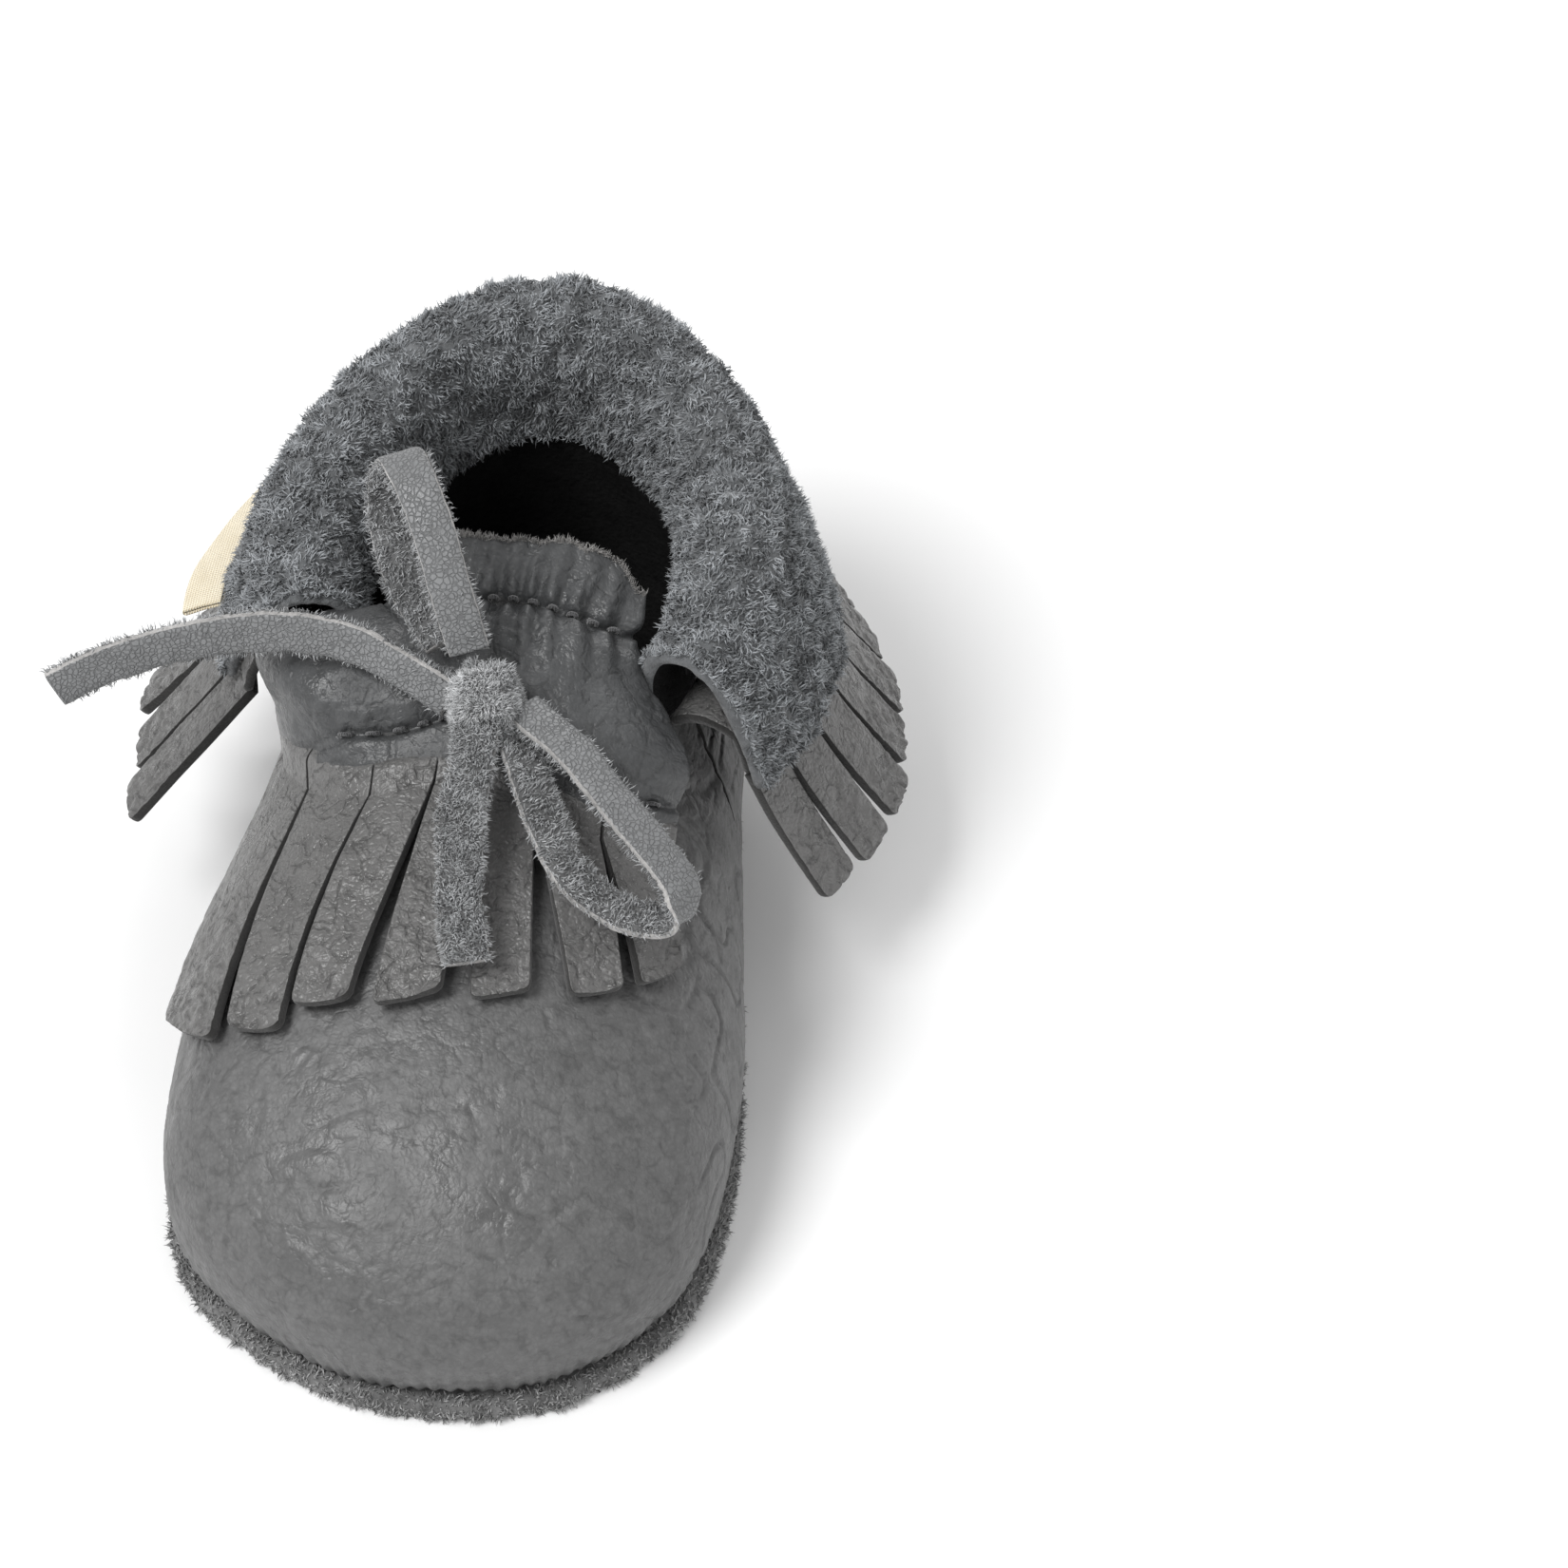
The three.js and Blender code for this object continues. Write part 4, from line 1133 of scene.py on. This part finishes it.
def front_run(across, way):
    """The fringe's surface, run on above the strands' roots, where it is part of the flap."""
    across, way = np.broadcast_arrays(across, way)
    up = np.maximum(-way, 0) * FRONT_LENGTH / FLAP_LENGTH
    flap = flap_surface(across, up)
    under = 1.6 * smoothstep(up, FLAP_FOOT, FRONT_TOP)
    flap = flap - normal_of(flap_surface, across, up) * under[..., None]
    return np.where((way < 0)[..., None], flap, front_point(across, np.maximum(way, 0)))


def make_front_fringe():
    pitch = 2 / FRONT_STRANDS
    top = -FRONT_TOP * FLAP_LENGTH / FRONT_LENGTH
    length = FRONT_LENGTH * (1 - top)
    for k, tips in enumerate(FRONT_TIPS):
        node = f"front_strand_{k + 1}"
        rows = strand_rows(length)[None, :]
        way = lerp(top, FRONT_LENGTHS[k], rows)
        opened = np.clip((rows - SLIT_START) / (1 - SLIT_START), 0, 1)
        opened = 0.5 * smoothstep(rows, SLIT_START, 1.0) + 0.5 * opened
        slit = 0.004 * smoothstep(rows, 0, SLIT_START)
        inset = slit + corner_inset(rows, length) * 2 / FRONT_SPAN
        root = -1 + k * pitch
        left = lerp(root, tips[0], opened) + inset
        right = lerp(root + pitch, tips[1], opened) - inset
        share = 1 - spread_over(8, STRAND_FINE)[:, None]
        middle = front_run(lerp(left, right, share), way)
        low = np.maximum(way, 0)
        curl = FRONT_LIFTS[k] * low ** 2 + 0.3 * (4 * (share - 0.5) ** 2 - 0.5) * low
        middle = middle + grid_normals(middle) * curl[..., None]
        piece = strand_piece(node, middle, way + 0 * share, 100 + 13 * k)
        hang_strand(piece, node)


SIDE_TUCK = -0.14  # how far a side strand runs on above its root, as a share of its length
SIDE_LENGTH = 19.5
SIDE_SLIT = 0.55  # between neighbours, at the root
# The least and the most of a side strand's length share, sideways lean, lift and flare.
STRAND_VARIETY = ((0.95, -0.35, 0, 0.0), (1.0, 0.35, 0.5, 0.06))


def side_line(degrees, way):
    """The middle line of a side strand, run on straight above its root."""
    forward = smoothstep(degrees, LEAN_FROM, CUFF_LEFT)

    def leaning(share):
        turned = strand_surface(degrees + STRAND_LEAN * forward * share, share)
        return turned + STRAND_SPLAY * forward * np.asarray(share)[..., None]

    root = leaning(0.0)
    slope = (leaning(0.04) - root) / 0.04
    return leaning(np.maximum(way, 0)) + slope * np.minimum(way, 0)[..., None]


def make_side_fringe():
    pitch = (CUFF_LEFT - CUFF_RIGHT - 2) / SIDE_STRANDS
    for k in range(SIDE_STRANDS):
        node = f"side_strand_{k + 1}"
        degrees = CUFF_RIGHT + 1 + pitch * (k + 0.5)
        ends = strand_surface(np.array([degrees - pitch / 2, degrees + pitch / 2]), 0.0)
        width = np.linalg.norm(ends[1] - ends[0])
        side = unit(ends[1] - ends[0])
        length_share, lean, lift, flare = RANDOM.uniform(*STRAND_VARIETY)
        rows = strand_rows(SIDE_LENGTH)
        way = lerp(SIDE_TUCK, length_share, rows)
        line = side_line(degrees, way)
        share = 1 - spread_over(width, STRAND_FINE)[:, None]
        half = (width - SIDE_SLIT) / 2 * (1 + flare * rows) - corner_inset(rows, SIDE_LENGTH)
        shift = lean * np.maximum(way, 0) ** 2
        offset = lerp(-1, 1, share) * half[None, :] + shift[None, :]
        middle = line[None] + offset[..., None] * side
        cup = lift * np.maximum(way, 0) ** 2 - 0.25 * lerp(-1, 1, share) ** 2 * np.maximum(way, 0)
        middle = middle + grid_normals(middle) * cup[..., None]
        piece = strand_piece(node, middle, np.maximum(way, 0)[None, :] + 0 * share, 300 + 17 * k)
        hang_strand(piece, node)


def make_band():
    """The sewn band that carries the side fringe, and its root, which runs in to the ankle seam."""
    degrees = lerp(CUFF_RIGHT + 1, CUFF_LEFT - 1, spread_over(CUFF_LENGTH, FINE * 2))[:, None]
    middle = band_surface(degrees, lerp(0.12, 1, spread_over(8, FINE * 2))[None, :])
    relief = leather_relief(middle, 91, folds=0.1)
    piece, _, _ = thick_sheet("fringe_band_leather", middle, relief, FRINGE_THICKNESS,
                              [FRINGE_GRAIN, FLESH, CUT_EDGE])
    settle(piece, ["fringe_band"])
    middle = band_root_surface(degrees, spread_over(12, FINE * 2)[None, :])
    relief = leather_relief(middle, 93, folds=0.1)
    root, _, _ = thick_sheet("fringe_band_root", middle, relief, FRINGE_THICKNESS,
                             [FRINGE_GRAIN, FLESH, CUT_EDGE])
    settle(root)


# ---- Label and stitches ----
LABEL_LAYER = 0.32
LABEL_FLAT = 18  # points across each layer, and round the fold
LABEL_FOLD = 9
LABEL_EDGE = 0.04  # where the fold starts


def make_label():
    """A woven ribbon folded double along its outer edge."""
    degrees = lerp(LABEL_TO, LABEL_FROM, spread_over(25, FINE))[:, None]
    turn = np.repeat([0, np.pi], LABEL_FLAT)
    turn = np.insert(turn, LABEL_FLAT, np.linspace(0, np.pi, LABEL_FOLD))[None, :]
    layer = np.linspace(1, LABEL_EDGE, LABEL_FLAT)
    along = np.concatenate([layer, np.full(LABEL_FOLD, LABEL_EDGE), layer[::-1]])[None, :]
    base = label_surface(degrees, along)
    normal = grid_normals(label_surface(degrees, lerp(0, 1, spread_over(1, 0.25))[None, :]))[:, 2:3]
    outward = unit(label_surface(degrees, 0.0) - label_surface(degrees, 0.2))
    half = (1.0 - LABEL_LAYER) / 2 - 0.05
    middle = base - normal * half * np.cos(turn)[..., None] + outward * (half * np.sin(turn))[..., None]
    wave = 0.18 * noise(base, 7, 95)
    middle[..., 2] += wave
    relief = 0.02 * noise(middle, 0.8, 96)
    piece, _, _ = thick_sheet("label_ribbon", middle, relief, LABEL_LAYER, [LABEL_WEAVE] * 3,
                              rounding=0.05)
    settle(piece, ["side_label"])


def stitches(name, node, places, length, radius):
    """Short threads on the flap that dive into the leather at both ends."""
    solids = []
    for across, up in places:
        step = np.linspace(-1, 1, 9)
        line_across = across + step * length / FLAP_WIDTH
        up_here = up(line_across)
        surface = flap_surface(line_across, up_here)
        normal = normal_of(flap_surface, line_across, up_here)
        arch = LEATHER / 2 - 0.75 + 0.75 * (1 - step ** 4)
        line = surface + normal * arch[:, None]
        solids.append(tube(line, np.full(9, radius)))
    points, faces = joined(solids)
    settle(mesh_piece(name, points, faces, [THREAD]), [node])


def make_stitches():
    gathers = [(x, lambda a: GATHER_UP + 0 * a) for x in np.linspace(-0.84, 0.84, 12)]
    stitches("gather_stitches", "gather_thread", gathers, 1.5, 0.3)
    seam = [(x, seam_up) for x in np.linspace(SEAM_LEFT, 0.9, 15)]
    stitches("seam_stitches", "flap_seam_thread", seam, 1.2, 0.25)


# ---- CAD nodes that keep their shape ----
def finish_hidden_nodes():
    kept = {"ankle_elastic": ELASTIC, "tongue_elastic": ELASTIC, "lace_bridge": LACE_GRAIN}
    for node, material in kept.items():
        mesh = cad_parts[node].data
        mesh.materials.clear()
        mesh.materials.append(material)


def main():
    make_camera()
    make_lace()
    make_studio()
    make_sole()
    make_upper()
    make_cuff()
    make_tongue()
    make_front_fringe()
    make_side_fringe()
    make_band()
    make_label()
    make_stitches()
    finish_hidden_nodes()


main()
